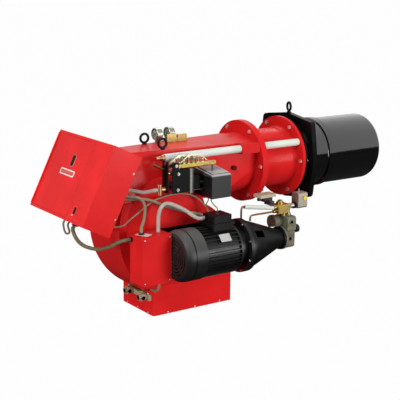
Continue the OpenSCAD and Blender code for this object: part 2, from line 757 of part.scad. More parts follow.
// Oil fittings above the pump
block_x = [-372, -303];
block_y = [-372, -318];
block_z = [-216, -170];
module valve_block() {
    cy = -345;
    color([0.78, 0.62, 0.24]) {
        box(block_x, block_y, block_z);
        zbar(13, pump_top, block_z[0], -320, cy);
        zbar(20, block_z[1], block_z[1] + 10, -344, cy);
        zbar(13, block_z[1] + 10, block_z[1] + 20, -344, cy);
        xbar(14, block_x[0] - 16, block_x[0], cy, oil_z);
        xbar(8.5, block_x[0] - 16, block_x[0], cy, oil_z - 21);
    }
}
oil_z = -186;
oil_rise = 9;
module steel_unions() {
    color([0.8, 0.8, 0.8]) {
        xhex(17, block_x[1], block_x[1] + 24, -345, -190);
        xbar(14, block_x[1] + 24, block_x[1] + 60, -345, -190);
        zbar(14, pump_top, pump_top + 10, -287, -345);
        zbar(9, pump_top + 10, -195, -287, -345);
    }
}
module pressure_switch() {
    x = [block_x[1] + 60, block_x[1] + 60 + 60];
    color([0.62, 0.62, 0.58]) {
        translate([0, -345, 0]) rotate([90, 0, 90]) translate([0, -164, x[0]])
            linear_extrude(x[1] - x[0]) rounded_rect(56, 80, 8);
        ybar(11, -345 - 28 - 5, -345 - 28, x[0] + 42, -152);
        zbar(3, -124, -106, x[0] + 24, -345);
    }
}
module solenoid_valve() {
    color([0.5, 0.5, 0.46]) {
        box([-412, -390], [-356, -300], [-170.8, -148]);
        box([-424, -372], [-318, -266], [-158, -136]);
        box([-452, -352], [-322, -262], [-136, -120]);
        xbar(9, -446, -424, -292, -146);
    }
}

module oil_pipes() {
    r = oil_pipe_d / 2;
    flange_top = motor_z + motor_d / 2 + 10.4;
    nut_x = block_x[0] - 16;
    color([0.72, 0.42, 0.22]) {
        sweep([[bell_x0 + 7, -345, flange_top], [bell_x0 + 7, -345, -186], [bell_x0 + 8, -345, -166],
            [bell_x0 + 15, -345, -154], [nut_x - 1.5 - 196 * cos(oil_rise), -345, oil_z + 196 * sin(oil_rise)],
            [nut_x - 1.5 - 186 * cos(oil_rise), -345, oil_z + 186 * sin(oil_rise)]], r, 3);
        sweep([[-536, -345, -235], [-536, -345, -222], [-531, -345, -211], [-516, -345, oil_z - 21],
            [-440, -345, oil_z - 21], [nut_x - 0.4, -345, oil_z - 21]], r, 3);
        sweep([[-1042, -226, 88], [-1010, -226, 72], [-990, -226, 62], [-972.4, -226, 60]], r + 1, 3);
    }
}

// Pale supply pipe along the duct, and its stretch between the round flanges
module supply_pipe() {
    r = supply_pipe_d / 2;
    color([0.86, 0.88, 0.84]) {
        xbar(r, -938, -458, pipe_y, pipe_z);
        xbar(r, spool_x0, spool_x1, pipe_y, pipe_z);
        translate([block_x[0] - 17.5, -345, oil_z]) rotate([0, -90 + oil_rise, 0]) cylinder(r = 11, h = 185);
    }
}

module brass_fittings() {
    color([0.76, 0.6, 0.28]) {
        xbar(15, -956, -938, pipe_y, pipe_z);
        xbar(9, -985, -956, pipe_y, pipe_z);
        xbar(13, -998, end_plate_x[0], -226, -40);
        zbar(12, -66, -14, -1004, -226);
        xbar(9, end_plate_x[1], web_x[0], -240, 40);
    }
}

// Servomotor and the cam unit that sets air and oil

servo_x = [-750, -634];
servo_y = [-311, -150];
servo_z = [-103, 6];
cam_y = -222;
cam_z = -30;
cam_r = 30;
plate_y = [-262, -256];
front_plate_x = [-951, -848];
end_plate_x = [-972, -966];
web_x = [-868, -848];
block_end_x = -776;
module servo_body() {
    color([0.06, 0.06, 0.06]) difference() {
        union() {
            box(servo_x, servo_y, servo_z);
            box([servo_x[0] + 20, servo_x[1] - 20], [servo_y[1], -96], [-80, -20]);
        }
        cover_cone();
        duct_shape(0, 0);
        scroll_solid(0, 0);
        xbar(9 + shaft_play, servo_x[0] - 1, servo_x[0] + 60, cam_y, cam_z);
    }
}

// Sloped lid, lowest towards the operator
module servo_cover() {
    z = servo_z[1];
    color([0.25, 0.25, 0.26]) {
        rotate([90, 0, 90]) translate([0, 0, servo_x[0]]) linear_extrude(servo_x[1] - servo_x[0])
            polygon([[servo_y[0], z], [servo_y[0], z + 4], [servo_y[0] + 10, z + 9],
                [servo_y[1] - 8, z + 26], [servo_y[1], z + 20], [servo_y[1], z]]);
        rotate([90, 0, 90]) translate([0, 0, servo_x[0] + 14]) linear_extrude(servo_x[1] - servo_x[0] - 14)
            polygon([[servo_y[0] + 18, z + 5], [servo_y[0] + 20, z + 14], [servo_y[1] - 20, z + 31],
                [servo_y[1] - 12, z + 20]]);
    }
}

// Frame of the cam unit: front plate with an ear, end plate and the block that seats on the housing
module cam_plates() {
    color([0.05, 0.05, 0.05]) difference() {
        union() {
            box(front_plate_x, plate_y, [-61, 56]);
            box([front_plate_x[0], front_plate_x[0] + 36], plate_y, [55, 92]);
            box(end_plate_x, [-250, -202], [-58, 98]);
            box(web_x, [plate_y[1], -200], [-56, 54]);
            box([web_x[0], block_end_x], [-244, -90], [-56, 10]);
        }
        upper_shape(0, 0);
        scroll_solid(0, 0);
        duct_shape(0, 0);
        cover_cone();
        xbar(9 + shaft_play, -1000, servo_x[0] + 10, cam_y, cam_z);
    }
}
module servo_strap() {
    color([0.7, 0.7, 0.66]) difference() {
        union() {
            box([web_x[1], web_x[1] + 19], plate_y, [-70, 56]);
            box([web_x[1], web_x[1] + 19], [plate_y[1], -244], [-60, -50]);
            box([web_x[1], block_end_x], [-250, -160], [-60, -56]);
            box([block_end_x, servo_x[0]], [-250, -160], [-64, -56]);
        }
        upper_shape(0, 0);
        scroll_solid(0, 0);
        duct_shape(0, 0);
        cover_cone();
    }
}
module cam_screws() {
    color([0.75, 0.75, 0.72]) {
        for (p = [[-917, 35], [-920, -44], [-930, 76]]) {
            ybar(8, plate_y[0] - 3, plate_y[0], p[0], p[1]);
            ybar(4, plate_y[0] - 6, plate_y[0] - 3, p[0], p[1]);
        }
        xbar(9, end_plate_x[0] - 4, end_plate_x[0], -228, 86);
    }
}

module cam_shaft() {
    color([0.66, 0.66, 0.6]) {
        xbar(9, end_plate_x[0] + 1, servo_x[0] + 55, cam_y, cam_z);
        for (c = [[-936, -60, 60], [-900, -50, 70]]) {
            translate([c[0], cam_y, cam_z]) rotate([0, 90, 0]) linear_extrude(14) intersection() {
                circle(cam_r);
                polygon([[0, 0], [-70, c[1]], [-70, c[2]]]);
            }
            xbar(17, c[0], c[0] + 14, cam_y, cam_z);
        }
    }
}

// Two rails of adjusting screws, each screw as high as the curved strip that it holds
rail_x = [end_plate_x[1], front_plate_x[0] + 11];
rail_y = [-240, -256];
rail_end = [-806, -690];
rail_z = [66, 62];
strip_cx = [-868, -822];
strip_cz = 12;
strip_r = 109;
strip_half = 78;
rail_w = 16;
function strip_z(i, x) = strip_cz + sqrt(pow(strip_r - 3, 2) - pow(x - strip_cx[i], 2));
module cam_rail() {
    color([0.72, 0.6, 0.2]) {
        for (i = [0, 1]) {
            box([rail_x[i], rail_end[i]], [rail_y[i], rail_y[i] + rail_w], [rail_z[i], rail_z[i] + 17]);
            for (k = [-2 : 2]) {
                x = strip_cx[i] + k * 28;
                zbar(4, rail_z[i] + 17, strip_z(i, x + 4 * sign(k)) - 0.4, x, rail_y[i] + rail_w / 2);
            }
        }
        zbar(4, servo_z[1] + 21, rail_z[1], -706, rail_y[1] + rail_w / 2);
    }
}
module cam_strips() {
    color([0.6, 0.6, 0.56]) for (i = [0, 1])
        translate([strip_cx[i], rail_y[i] + 1, strip_cz]) rotate([-90, 0, 0]) linear_extrude(rail_w - 2)
            difference() {
                circle(strip_r, $fn = 128);
                circle(strip_r - 3, $fn = 128);
                translate([-200, -sqrt(pow(strip_r, 2) - pow(strip_half, 2))]) square([400, 400]);
            }
}

// Gauges on the far side of the housing's top

gauge_y = 118;
gauge_z = 166;
rear_gauge_x = -809;
front_gauge_x = -734;
manifold_z = gauge_z - gauge_d / 2 - 3;
module gauge_case(x) {
    r = gauge_d / 2;
    xturn([[x, 0], [x, r - 9], [x - 4, r - 9], [x - 6, r - 3], [x - 2, r], [x + 26, r], [x + 30, r - 4],
        [x + 30, 0]], gauge_y, gauge_z);
    zbar(7, manifold_z, gauge_z - r + 3, x + 15, gauge_y);
}
module gauges() {
    color([0.82, 0.82, 0.8]) difference() {
        union() {
            gauge_case(rear_gauge_x);
            gauge_case(front_gauge_x);
        }
        for (x = [rear_gauge_x, front_gauge_x]) xbar(1.5 + shaft_play, x - 1, x + 12, gauge_y, gauge_z);
    }
}
module needle(x) {
    xbar(1.5, x - 3, x + 8, gauge_y, gauge_z);
    translate([x - 3, gauge_y, gauge_z]) rotate([-135, 0, 0])
        translate([0, -1.2, -6]) cube([1.2, 2.4, gauge_d / 2 - 10]);
}
module rear_needle() {
    color([0.1, 0.1, 0.1]) needle(rear_gauge_x);
}
module front_needle() {
    color([0.1, 0.1, 0.1]) needle(front_gauge_x);
}
module gauge_manifold() {
    color([0.76, 0.6, 0.28]) difference() {
        union() {
            box([rear_gauge_x + 4, -627], [100, gauge_y + 9], [duct_top - 16, manifold_z]);
            box([-700, -650], [80, 101], [duct_top, manifold_z]);
            box([-770, -711], [66, 82], [duct_top, 168]);
            box([-711, -704], [68, 80], [duct_top, 150]);
            box([-704, -645], [66, 82], [duct_top, 162]);
        }
        upper_shape(0, 0);
    }
}

// Control panel

panel_at = [-1365, 0, 27];
module at_panel() {
    translate(panel_at) rotate([0, panel_tilt, 0]) children();
}
module panel_block(inset) {
    at_panel() box([inset, panel_d - inset], [-panel_w / 2 + inset, panel_w / 2 - inset],
        [-panel_h / 2 + inset, panel_h / 2 - inset]);
}
panel_sheet = 2;
door_y0 = panel_w / 2 - panel_w * door_share;
door_lip = 13;
window_y = 34;
window_z = 76;
function panel_point(p) = panel_at + [p[0] * cos(panel_tilt) + p[2] * sin(panel_tilt), p[1],
    -p[0] * sin(panel_tilt) + p[2] * cos(panel_tilt)];
// A point beyond the panel's back or its underside, at a distance from the gland's end
gland_len = 9;
function behind_panel(y, z, away) = panel_point([panel_d + gland_len + away, y, z]);
function below_panel(x, y, away) = panel_point([x, y, -panel_h / 2 - gland_len - away]);
switch_y = -panel_w / 2 + 120;
switch_z = -panel_h / 2 + 60;
switch_tilt = 8;
module panel_case() {
    color([0.88, 0.16, 0.14]) difference() {
        panel_block(0);
        difference() {
            panel_block(panel_sheet);
            at_panel() box([0, 26], [switch_y - 20, switch_y + 20], [switch_z - 24, switch_z + 24]);
        }
        at_panel() {
            box([-1, 4], [door_y0, panel_w / 2 - 8], [-panel_h / 2 + door_lip, panel_h / 2 - door_lip]);
            box([-1, 12], [door_y0 + 10, panel_w / 2 - 20], [-panel_h / 2 + 26, panel_h / 2 - 26]);
            box([-1, 22], [switch_y - 11, switch_y + 11], [switch_z - 16, switch_z + 16]);
            ybar(4 + shaft_play, switch_y - 16, switch_y + 16, 8, switch_z);
        }
    }
}

// Hinged leaf of the panel's face
module panel_door() {
    half_h = panel_h / 2 - door_lip - 1;
    color([0.89, 0.17, 0.15]) at_panel() difference() {
        union() {
            box([0, 3], [door_y0 + 1, panel_w / 2 - 9], [-half_h, half_h]);
            zbar(3.7, -half_h, half_h, -4, panel_w / 2 - 9);
            box([-4, 0], [panel_w / 2 - 13, panel_w / 2 - 9], [-half_h, half_h]);
        }
        box([-1, 4], [window_y - 9, window_y + 9], [window_z - 22, window_z + 22]);
    }
}
module panel_window() {
    color([0.04, 0.04, 0.04]) at_panel() {
        rotate([90, 0, 90]) translate([window_y, window_z, -3]) linear_extrude(3) rounded_rect(27, 56, 7);
        box([0, 4], [window_y - 8.8, window_y + 8.8], [window_z - 21.8, window_z + 21.8]);
    }
}
module panel_switch() {
    color([0.02, 0.02, 0.02]) at_panel() {
        ybar(4, switch_y - 15.5, switch_y + 15.5, 8, switch_z);
        translate([8, switch_y, switch_z]) rotate([90, switch_tilt, 0]) translate([0, 0, -10])
            linear_extrude(20) polygon([[5, -6], [5, 6], [-9, 12], [-7, 0], [-9, -12]]);
    }
}
module panel_brackets() {
    color([0.8, 0.12, 0.12]) difference() {
        for (y = [-58, 44]) box([-1300, -1080], [y, y + 14], [-70, 60]);
        panel_block(0);
        upper_shape(0, 0);
        box([-1400, -1206], [-200, 200], [20, 200]);
    }
}

// Terminal box behind the pump motor

term_x = [-1165, -1000];
term_y = [-330, -214];
term_z = [-480, -238];
module terminal_box() {
    color([0.85, 0.13, 0.12]) difference() {
        box(term_x, term_y, term_z);
        box([term_x[0] + 2, term_x[1] - 2], [term_y[0] + 2, term_y[1] - 2], [term_z[0] + 2, term_z[1] - 2]);
    }
}
module terminal_feet() {
    color([0.75, 0.12, 0.12]) difference() {
        for (z = [term_z[0] + 30, term_z[1] - 50]) box([-1120, -1042], [term_y[1], -100], [z, z + 16]);
        scroll_solid(0, 0);
        cover_cone();
    }
}
module panel_side_screw(z) {
    at_panel() ybar(4.5, -panel_w / 2 - 3, -panel_w / 2, panel_d - 9, z);
}
module box_screws() {
    color([0.82, 0.78, 0.62]) {
        for (x = [term_x[0] + 14, term_x[1] - 10]) for (z = [term_z[0] + 12, term_z[1] - 14])
            ybar(4.5, term_y[0] - 3, term_y[0], x, z);
        panel_side_screw(118);
        panel_side_screw(-115);
    }
}
gland_x = -1130;
gland2_x = -1037;
gland_y = -262;
side_gland = [-228, -264];
back_glands = [[-200, 40, 15], [-240, 10, 12], [-205, -12, 12], [-215, -150, 8]];
under_glands = [[52, -114, 14], [104, -40, 14]];
box_gland_z = tbox_top - 18;
module cable_glands() {
    color([0.05, 0.05, 0.05]) {
        zbar(14, term_z[1], term_z[1] + gland_len, gland_x, gland_y);
        xbar(13, term_x[0] - gland_len, term_x[0], side_gland[0], side_gland[1]);
        at_panel() {
            for (g = under_glands) zbar(g[2], -panel_h / 2 - gland_len, -panel_h / 2, g[0], g[1]);
            for (g = back_glands) xbar(g[2], panel_d, panel_d + gland_len, g[0], g[1]);
        }
        xbar(12, tbox_x[0] + 15 - gland_len, tbox_x[0] + 15, -322, box_gland_z);
        ybar(11, tbox_y[1] - 12, tbox_y[1] - 12 + gland_len, -770, box_gland_z);
    }
}

// Cast bracket with two ports on the inlet duct's rear wall
lug_y = [-100, 34];
lug_z = -616;
module lug_bracket() {
    color([0.5, 0.52, 0.46]) difference() {
        union() {
            box([inlet_x0 - 14, inlet_x0], [lug_y[0] - 34, lug_y[1] + 38], [lug_z - 18, lug_z + 18]);
            for (y = lug_y) {
                xbar(21, inlet_x0 - 46, inlet_x0 - 14, y, lug_z);
                xbar(15, inlet_x0 - 58, inlet_x0 - 46, y, lug_z);
            }
        }
        drum(1);
    }
}

// Conduits and leads, each with a straight end at its fitting

end_gap = 0.8;
lead_in = 20;
module conduits() {
    r = conduit_d / 2;
    color([0.62, 0.57, 0.5]) {
        sweep([[gland2_x, -267, term_z[1] + end_gap], [gland2_x, -267, -206], [-1034, -267, -150],
            [-1016, -268, -112], [-985, -270, -101], [-940, -278, -118], [-895, -292, -144],
            [-858, -312, -174], [-832, -322, box_gland_z], [tbox_x[0] + 15 - gland_len - end_gap, -322, box_gland_z]],
            r, 4);
        sweep([behind_panel(-200, 40, end_gap), behind_panel(-200, 40, lead_in), [-1130, -202, -36],
            [-1088, -208, -46], [-1050, -218, -43], [-1036, -226, -40], [-1016.8, -226, -40]], r, 4);
        sweep([behind_panel(-240, 10, end_gap), behind_panel(-240, 10, lead_in), [-1142, -241, -58],
            [-1112, -244, -78], [-1101, -248, -114], [-1110, -256, -160], [gland_x, gland_y, -206],
            [gland_x, gland_y, term_z[1] + gland_len + end_gap]], r * 0.8, 4);
        sweep([behind_panel(-205, -12, end_gap), behind_panel(-205, -12, lead_in), [-1150, -214, -72],
            [-1113, -222, -72], [-1060, -232, -84], [-1011, -240, -106], [-940, -244, -136],
            [-870, -248, -160], [-810, -254, -178], [-776, -262, box_gland_z],
            [-770, -276, box_gland_z], [-770, tbox_y[1] - 12 + gland_len + end_gap, box_gland_z]], r * 0.8, 4);
        sweep([below_panel(52, -114, end_gap), below_panel(52, -114, lead_in), [-1400, -114, -256],
            [-1361, -118, -294], [-1306, -142, -312], [-1262, -180, -298], [-1226, -214, -272],
            [term_x[0] - gland_len - lead_in, side_gland[0], side_gland[1]],
            [term_x[0] - gland_len - end_gap, side_gland[0], side_gland[1]]], r, 4);
    }
}
module leads() {
    r = lead_d / 2;
    color([0.58, 0.53, 0.46]) {
        sweep([behind_panel(-215, -150, end_gap), behind_panel(-215, -150, lead_in), [-1210, -222, -192],
            [-1158, -226, -158], [-1105, -226, -128], [-1057, -222, -102], [-1007, -216, -86],
            [-941, -216, -76], [-883, -218, -74], [-825, -222, -86], [-779, -230, -110], [-746, -244, -146],
            [-732, -262, -178], [-727, -274, box_gland_z], [-727, tbox_y[1] - 12 + end_gap, box_gland_z]], r * 0.8, 3);
        sweep([[-736, -286, servo_z[0] - end_gap], [-736, -286, -118], [-730, -300, -136],
            [-722, -318, -150], [-722, -318, tbox_top + end_gap]], r * 0.6, 3);
        sweep([[-744, -270, servo_z[0] - end_gap], [-744, -270, -116], [-750, -264, -136],
            [-746, -264, -164], [-744, -276, box_gland_z + 8], [-744, tbox_y[1] - 12 + end_gap, box_gland_z + 8]],
            r * 0.6, 3);
        sweep([panel_point([8, -86, -panel_h / 2 - end_gap]), panel_point([8, -86, -panel_h / 2 - 18]),
            [-1452, -87, -208], [-1442, -88, -226], [-1426, -89, -222], panel_point([32, -90, -panel_h / 2 - 18]),
            panel_point([32, -90, -panel_h / 2 - end_gap])], r, 3);
    }
}

blast_tube();
tube_band();
diffuser();
nozzle_lance();
boiler_flange();
head_hub();
head_spool();
outlet_duct();
scroll_housing();
fan_cover();
inlet_duct();
intake_throat();
fan_wheel();
air_damper();
lifting_eyes();
flange_bolts();
fan_motor_frame();
fan_motor_cowl();
fan_motor_rotor();
panel_case();
panel_door();
panel_window();
panel_switch();
panel_brackets();
terminal_box();
terminal_feet();
box_screws();
cable_glands();
lug_bracket();
motor_plate();
motor_frame();
motor_cowl();
motor_rotor();
motor_terminal_box();
bell_housing();
drive_bolts();
pump_body();
pump_knob();
valve_block();
steel_unions();
pressure_switch();
solenoid_valve();
oil_pipes();
supply_pipe();
brass_fittings();
servo_body();
servo_cover();
cam_plates();
cam_rail();
cam_strips();
cam_screws();
servo_strap();
cam_shaft();
gauges();
rear_needle();
front_needle();
gauge_manifold();
conduits();
leads();
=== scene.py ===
import math

import bmesh
import bpy
from mathutils import Matrix, Vector


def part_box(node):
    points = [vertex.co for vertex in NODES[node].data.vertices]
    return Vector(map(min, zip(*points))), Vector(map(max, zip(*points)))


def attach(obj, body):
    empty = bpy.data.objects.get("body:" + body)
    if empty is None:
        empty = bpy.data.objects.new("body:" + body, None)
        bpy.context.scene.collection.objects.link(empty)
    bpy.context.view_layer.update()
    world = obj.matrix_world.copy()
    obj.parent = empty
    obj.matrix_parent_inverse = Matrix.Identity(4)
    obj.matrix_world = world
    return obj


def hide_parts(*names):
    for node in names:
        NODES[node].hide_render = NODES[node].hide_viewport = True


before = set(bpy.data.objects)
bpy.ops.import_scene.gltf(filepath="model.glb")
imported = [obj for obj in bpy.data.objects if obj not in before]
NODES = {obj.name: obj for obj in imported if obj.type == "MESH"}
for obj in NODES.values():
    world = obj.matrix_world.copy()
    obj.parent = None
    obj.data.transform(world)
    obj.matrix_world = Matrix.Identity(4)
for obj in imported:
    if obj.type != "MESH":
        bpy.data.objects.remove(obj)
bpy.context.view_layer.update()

MM = 0.001


# Node trees written as expressions

class Sock:
    """A socket that joins in Python expressions, each of which adds its Math nodes."""

    def __init__(self, graph, socket):
        self.graph = graph
        self.socket = socket

    def math(self, operation, *others):
        return self.graph.node("ShaderNodeMath", {"operation": operation}, self, *others)

    def __add__(self, other):
        return self.math("ADD", other)

    def __radd__(self, other):
        return self.math("ADD", other)

    def __sub__(self, other):
        return self.math("SUBTRACT", other)

    def __rsub__(self, other):
        return self.graph.node("ShaderNodeMath", {"operation": "SUBTRACT"}, other, self)

    def __mul__(self, other):
        return self.math("MULTIPLY", other)

    def __rmul__(self, other):
        return self.math("MULTIPLY", other)

    def __truediv__(self, other):
        return self.math("DIVIDE", other)

    def __pow__(self, other):
        return self.math("POWER", other)

    def over(self, limit):
        return self.math("GREATER_THAN", limit)

    def clamp(self):
        return self.graph.node("ShaderNodeClamp", {}, self, 0.0, 1.0)

    def smooth(self, low, high):
        return self.graph.node("ShaderNodeMapRange", {"interpolation_type": "SMOOTHSTEP"},
                               self, low, high, 0.0, 1.0)


class Graph:
    """A node tree whose nodes are added one call at a time."""

    def __init__(self, tree):
        self.tree = tree

    def node(self, kind, settings, *values, out=0, **named):
        made = self.tree.nodes.new(kind)
        for key, value in settings.items():
            setattr(made, key, value)
        for key, value in list(enumerate(values)) + list(named.items()):
            if value is not None:
                self.join(made.inputs[key.replace("_", " ") if isinstance(key, str) else key], value)
        return Sock(self, made.outputs[out])

    def join(self, target, value):
        if isinstance(value, Sock):
            self.tree.links.new(value.socket, target)
        else:
            target.default_value = value


class Finish(Graph):
    """One material with its Principled shader, read on the object's own coordinates."""

    def __init__(self, name, colour, roughness, metallic=0.0, coat=0.0, coat_roughness=0.1, sheen=0.5):
        self.material = bpy.data.materials.new(name)
        self.material.use_nodes = True
        super().__init__(self.material.node_tree)
        self.tree.nodes.clear()
        self.shader = self.tree.nodes.new("ShaderNodeBsdfPrincipled")
        output = self.tree.nodes.new("ShaderNodeOutputMaterial")
        self.tree.links.new(self.shader.outputs[0], output.inputs[0])
        self.feed("Base Color", (*colour, 1.0))
        self.feed("Roughness", roughness)
        self.feed("Metallic", metallic)
        self.feed("Coat Weight", coat)
        self.shader.inputs["Coat Roughness"].default_value = coat_roughness
        self.shader.inputs["Specular IOR Level"].default_value = sheen
        self.material.diffuse_color = (*colour, 1.0)
        self.place = self.node("ShaderNodeTexCoord", {}, out="Object")

    def feed(self, name, value):
        self.join(self.shader.inputs[name], value)

    def noise(self, scale, detail=3.0, roughness=0.5, distortion=0.0, at=None):
        return self.node("ShaderNodeTexNoise", {}, Vector=at or self.place, Scale=scale, Detail=detail,
                         Roughness=roughness, Distortion=distortion)

    def stretch(self, scale):
        return self.node("ShaderNodeMapping", {}, Vector=self.place, Scale=scale)

    def mix(self, factor, first, second):
        made = self.tree.nodes.new("ShaderNodeMix")
        made.data_type = "RGBA"
        self.join(made.inputs["Factor"], factor)
        for key, value in ((6, first), (7, second)):
            self.join(made.inputs[key], value if isinstance(value, Sock) else (*value, 1.0))
        return Sock(self, made.outputs[2])

    def bump(self, height, strength, distance):
        self.feed("Normal", self.node("ShaderNodeBump", {}, Strength=strength, Distance=distance,
                                      Height=height))

    def upward(self):
        """How far a face looks up, from 0 for a wall to 1 for a level top."""
        normal = self.node("ShaderNodeNewGeometry", {}, out="Normal")
        parts = self.node("ShaderNodeSeparateXYZ", {}, normal, out="Z")
        return parts.clamp()


# Pale grey that what looks up is mixed towards, as dust and painted highlight.
DUST_AND_HIGHLIGHT_GREY = (0.46, 0.45, 0.44)


def tone(colour, amount):
    return tuple(min(1.0, c * amount) for c in colour)


def gloss_paint(name, colour, roughness=0.3, coat=0.04, dust_and_highlight=0.05, sheen=0.07):
    """Stoved paint: slight orange peel, faint cloudiness, and a paler pink on what looks up that is partly dust,
    partly painted highlight.
    """
    paint = Finish(name, colour, roughness, coat=coat, coat_roughness=0.12, sheen=sheen)
    clouds = paint.noise(7.0, 4.0)
    grime_and_highlight_noise = paint.noise(38.0, 5.0, 0.6)
    body = paint.mix(clouds.smooth(0.3, 0.75), tone(colour, 0.90), tone(colour, 1.06))
    # Paler pink on what looks up: partly dust, partly a painted highlight standing for the bright surroundings seen
    # in the gloss.
    dust_and_top_highlight = (paint.upward() ** 4.0) * grime_and_highlight_noise.smooth(0.35, 0.8) * dust_and_highlight
    paint.feed("Base Color", paint.mix(dust_and_top_highlight, body, tone((0.52, 0.42, 0.38), 0.4 + max(colour))))
    paint.feed("Roughness", (grime_and_highlight_noise * 0.14 + roughness - 0.07).clamp())
    paint.bump(paint.noise(420.0, 2.0), 0.10, 0.0004)
    return paint.material


def cast_paint(name, colour, roughness=0.5, grain=0.35, sheen=0.25, dust_and_top_highlight=0.0):
    """Paint over a sand casting or a pressed cover: fine grain, rubbed patches, and where asked a paler grey on what
    looks up, as dust and painted highlight.
    """
    paint = Finish(name, colour, roughness, coat=0.03, coat_roughness=0.3, sheen=sheen)
    sand = paint.noise(650.0, 4.0, 0.6)
    rub = paint.noise(26.0, 5.0, 0.65)
    light = tuple(min(1.0, c * 1.5 + 0.006) for c in colour)
    body = paint.mix(rub.smooth(0.52, 0.78), colour, light)
    paint.feed("Base Color", paint.mix(paint.upward() * dust_and_top_highlight, body, DUST_AND_HIGHLIGHT_GREY))
    paint.feed("Roughness", (rub * 0.25 + roughness - 0.12).clamp())
    paint.bump(sand + rub * 0.6, grain, 0.0008)
    return paint.material


def turned_metal(name, colour, roughness=0.28, stretch=(20.0, 900.0, 900.0), tarnish=(0.4, 0.3, 0.2), amount=0.35):
    """Machined metal: fine tool lines and cloudy tarnish."""
    metal = Finish(name, colour, roughness, metallic=1.0)
    lines = metal.noise(1.0, 2.0, at=metal.stretch(stretch))
    stain = metal.noise(45.0, 5.0, 0.6)
    metal.feed("Base Color", metal.mix(stain.smooth(0.45, 0.8) * amount, colour, tarnish))
    metal.feed("Roughness", (lines * 0.2 + stain * 0.2 + roughness - 0.2).clamp())
    metal.bump(lines, 0.12, 0.0003)
    return metal.material


def stained_cast(name, colour, stain, roughness=0.5, grain=0.3):
    """Painted casting with brownish oil stains in soft patches."""
    paint = Finish(name, colour, roughness, coat=0.05, coat_roughness=0.3, sheen=0.3)
    sand = paint.noise(650.0, 4.0, 0.6)
    patches = paint.noise(14.0, 3.0, 0.55)
    speckle = paint.noise(120.0, 3.0, 0.6)
    oiled = (patches.smooth(0.42, 0.62) * 0.75 + speckle.smooth(0.6, 0.8) * 0.25).clamp()
    paint.feed("Base Color", paint.mix(oiled, colour, stain))
    paint.feed("Roughness", (0.18 - oiled * 0.2 + roughness - 0.08).clamp())
    paint.bump(sand + patches * 0.4, grain, 0.0008)
    return paint.material


def split_cast(name, lower, upper, height):
    """A dark body with a pale cover above a level."""
    paint = Finish(name, lower, 0.45, sheen=0.3)
    level = paint.node("ShaderNodeSeparateXYZ", {}, paint.place, out="Z")
    clouds = paint.noise(60.0, 4.0, 0.6)
    body = paint.mix(clouds.smooth(0.4, 0.8), lower, tone(lower, 1.6))
    lid = paint.mix(clouds.smooth(0.35, 0.8), upper, tone(upper, 0.8))
    paint.feed("Base Color", paint.mix(level.over(height), body, lid))
    paint.feed("Roughness", (clouds * 0.2 + 0.35).clamp())
    paint.bump(paint.noise(500.0, 3.0), 0.2, 0.0005)
    return paint.material


def banded_metal(name, bright, dark, edge):
    """Zinc-plated strap, black-painted past a place along the burner."""
    metal = Finish(name, bright, 0.4, metallic=1.0)
    along = metal.node("ShaderNodeSeparateXYZ", {}, metal.place, out="X")
    past = along.over(edge)
    stain = metal.noise(45.0, 5.0, 0.6)
    plated = metal.mix(stain.smooth(0.4, 0.8), bright, tone(bright, 0.75))
    metal.feed("Base Color", metal.mix(past, plated, dark))
    metal.feed("Metallic", 1.0 - past)
    metal.feed("Roughness", (stain * 0.2 + 0.32).clamp())
    metal.bump(metal.noise(1.0, 2.0, at=metal.stretch((900.0, 900.0, 25.0))), 0.12, 0.0003)
    return metal.material


def footed_metal(name, bright, dark, level):
    """Machined metal on a black foot that ends at a level."""
    metal = Finish(name, bright, 0.36)
    height = metal.node("ShaderNodeSeparateXYZ", {}, metal.place, out="Z")
    above = height.over(level)
    stain = metal.noise(70.0, 5.0, 0.6)
    plated = metal.mix(stain.smooth(0.42, 0.75), bright, tone(bright, 0.45))
    metal.feed("Base Color", metal.mix(above, dark, plated))
    metal.feed("Metallic", above)
    metal.feed("Roughness", (stain * 0.2 + 0.28).clamp())
    metal.bump(stain, 0.12, 0.0003)
    return metal.material


def moulded(name, colour, roughness=0.4, grain=0.12, sheen=0.35, dust_and_top_highlight=0.0):
    """Moulded plastic: pebbled skin with a soft sheen, and where asked a paler grey on what looks up, as dust and
    painted highlight.
    """
    plastic = Finish(name, colour, roughness, sheen=sheen)
    pebble = plastic.noise(900.0, 2.0)
    wipe = plastic.noise(30.0, 4.0)
    body = plastic.mix(wipe.smooth(0.4, 0.8), colour, tone(colour, 1.25))
    plastic.feed("Base Color", plastic.mix(plastic.upward() * dust_and_top_highlight, body, DUST_AND_HIGHLIGHT_GREY))
    plastic.feed("Roughness", (wipe * 0.2 + roughness - 0.1).clamp())
    plastic.bump(pebble, grain, 0.0004)
    return plastic.material


RED = (0.74, 0.016, 0.017)
red_paint = gloss_paint("red_paint", RED)
# The brighter red for the inlet duct is painted light. The slightly darker red for the terminal box is painted shade.
duct_red = gloss_paint("duct_red", tone(RED, 1.2))
box_red = gloss_paint("box_red", tone(RED, 0.97))
black_paint = gloss_paint("black_paint", (0.0045, 0.004, 0.0045), roughness=0.3, coat=0.1, dust_and_highlight=0.02)
tube_paint = gloss_paint("tube_paint", (0.0030, 0.0030, 0.0030), roughness=0.10, coat=0.9, dust_and_highlight=0.0, sheen=0.9)
motor_paint = cast_paint("motor_paint", (0.0045, 0.0045, 0.005), roughness=0.4, grain=0.2, sheen=0.15)
fin_paint = cast_paint("fin_paint", (0.0055, 0.0055, 0.006), roughness=0.38, grain=0.2, sheen=0.35)
plate_paint = cast_paint("plate_paint", (0.0035, 0.0035, 0.0035), roughness=0.5, grain=0.2, sheen=0.06)
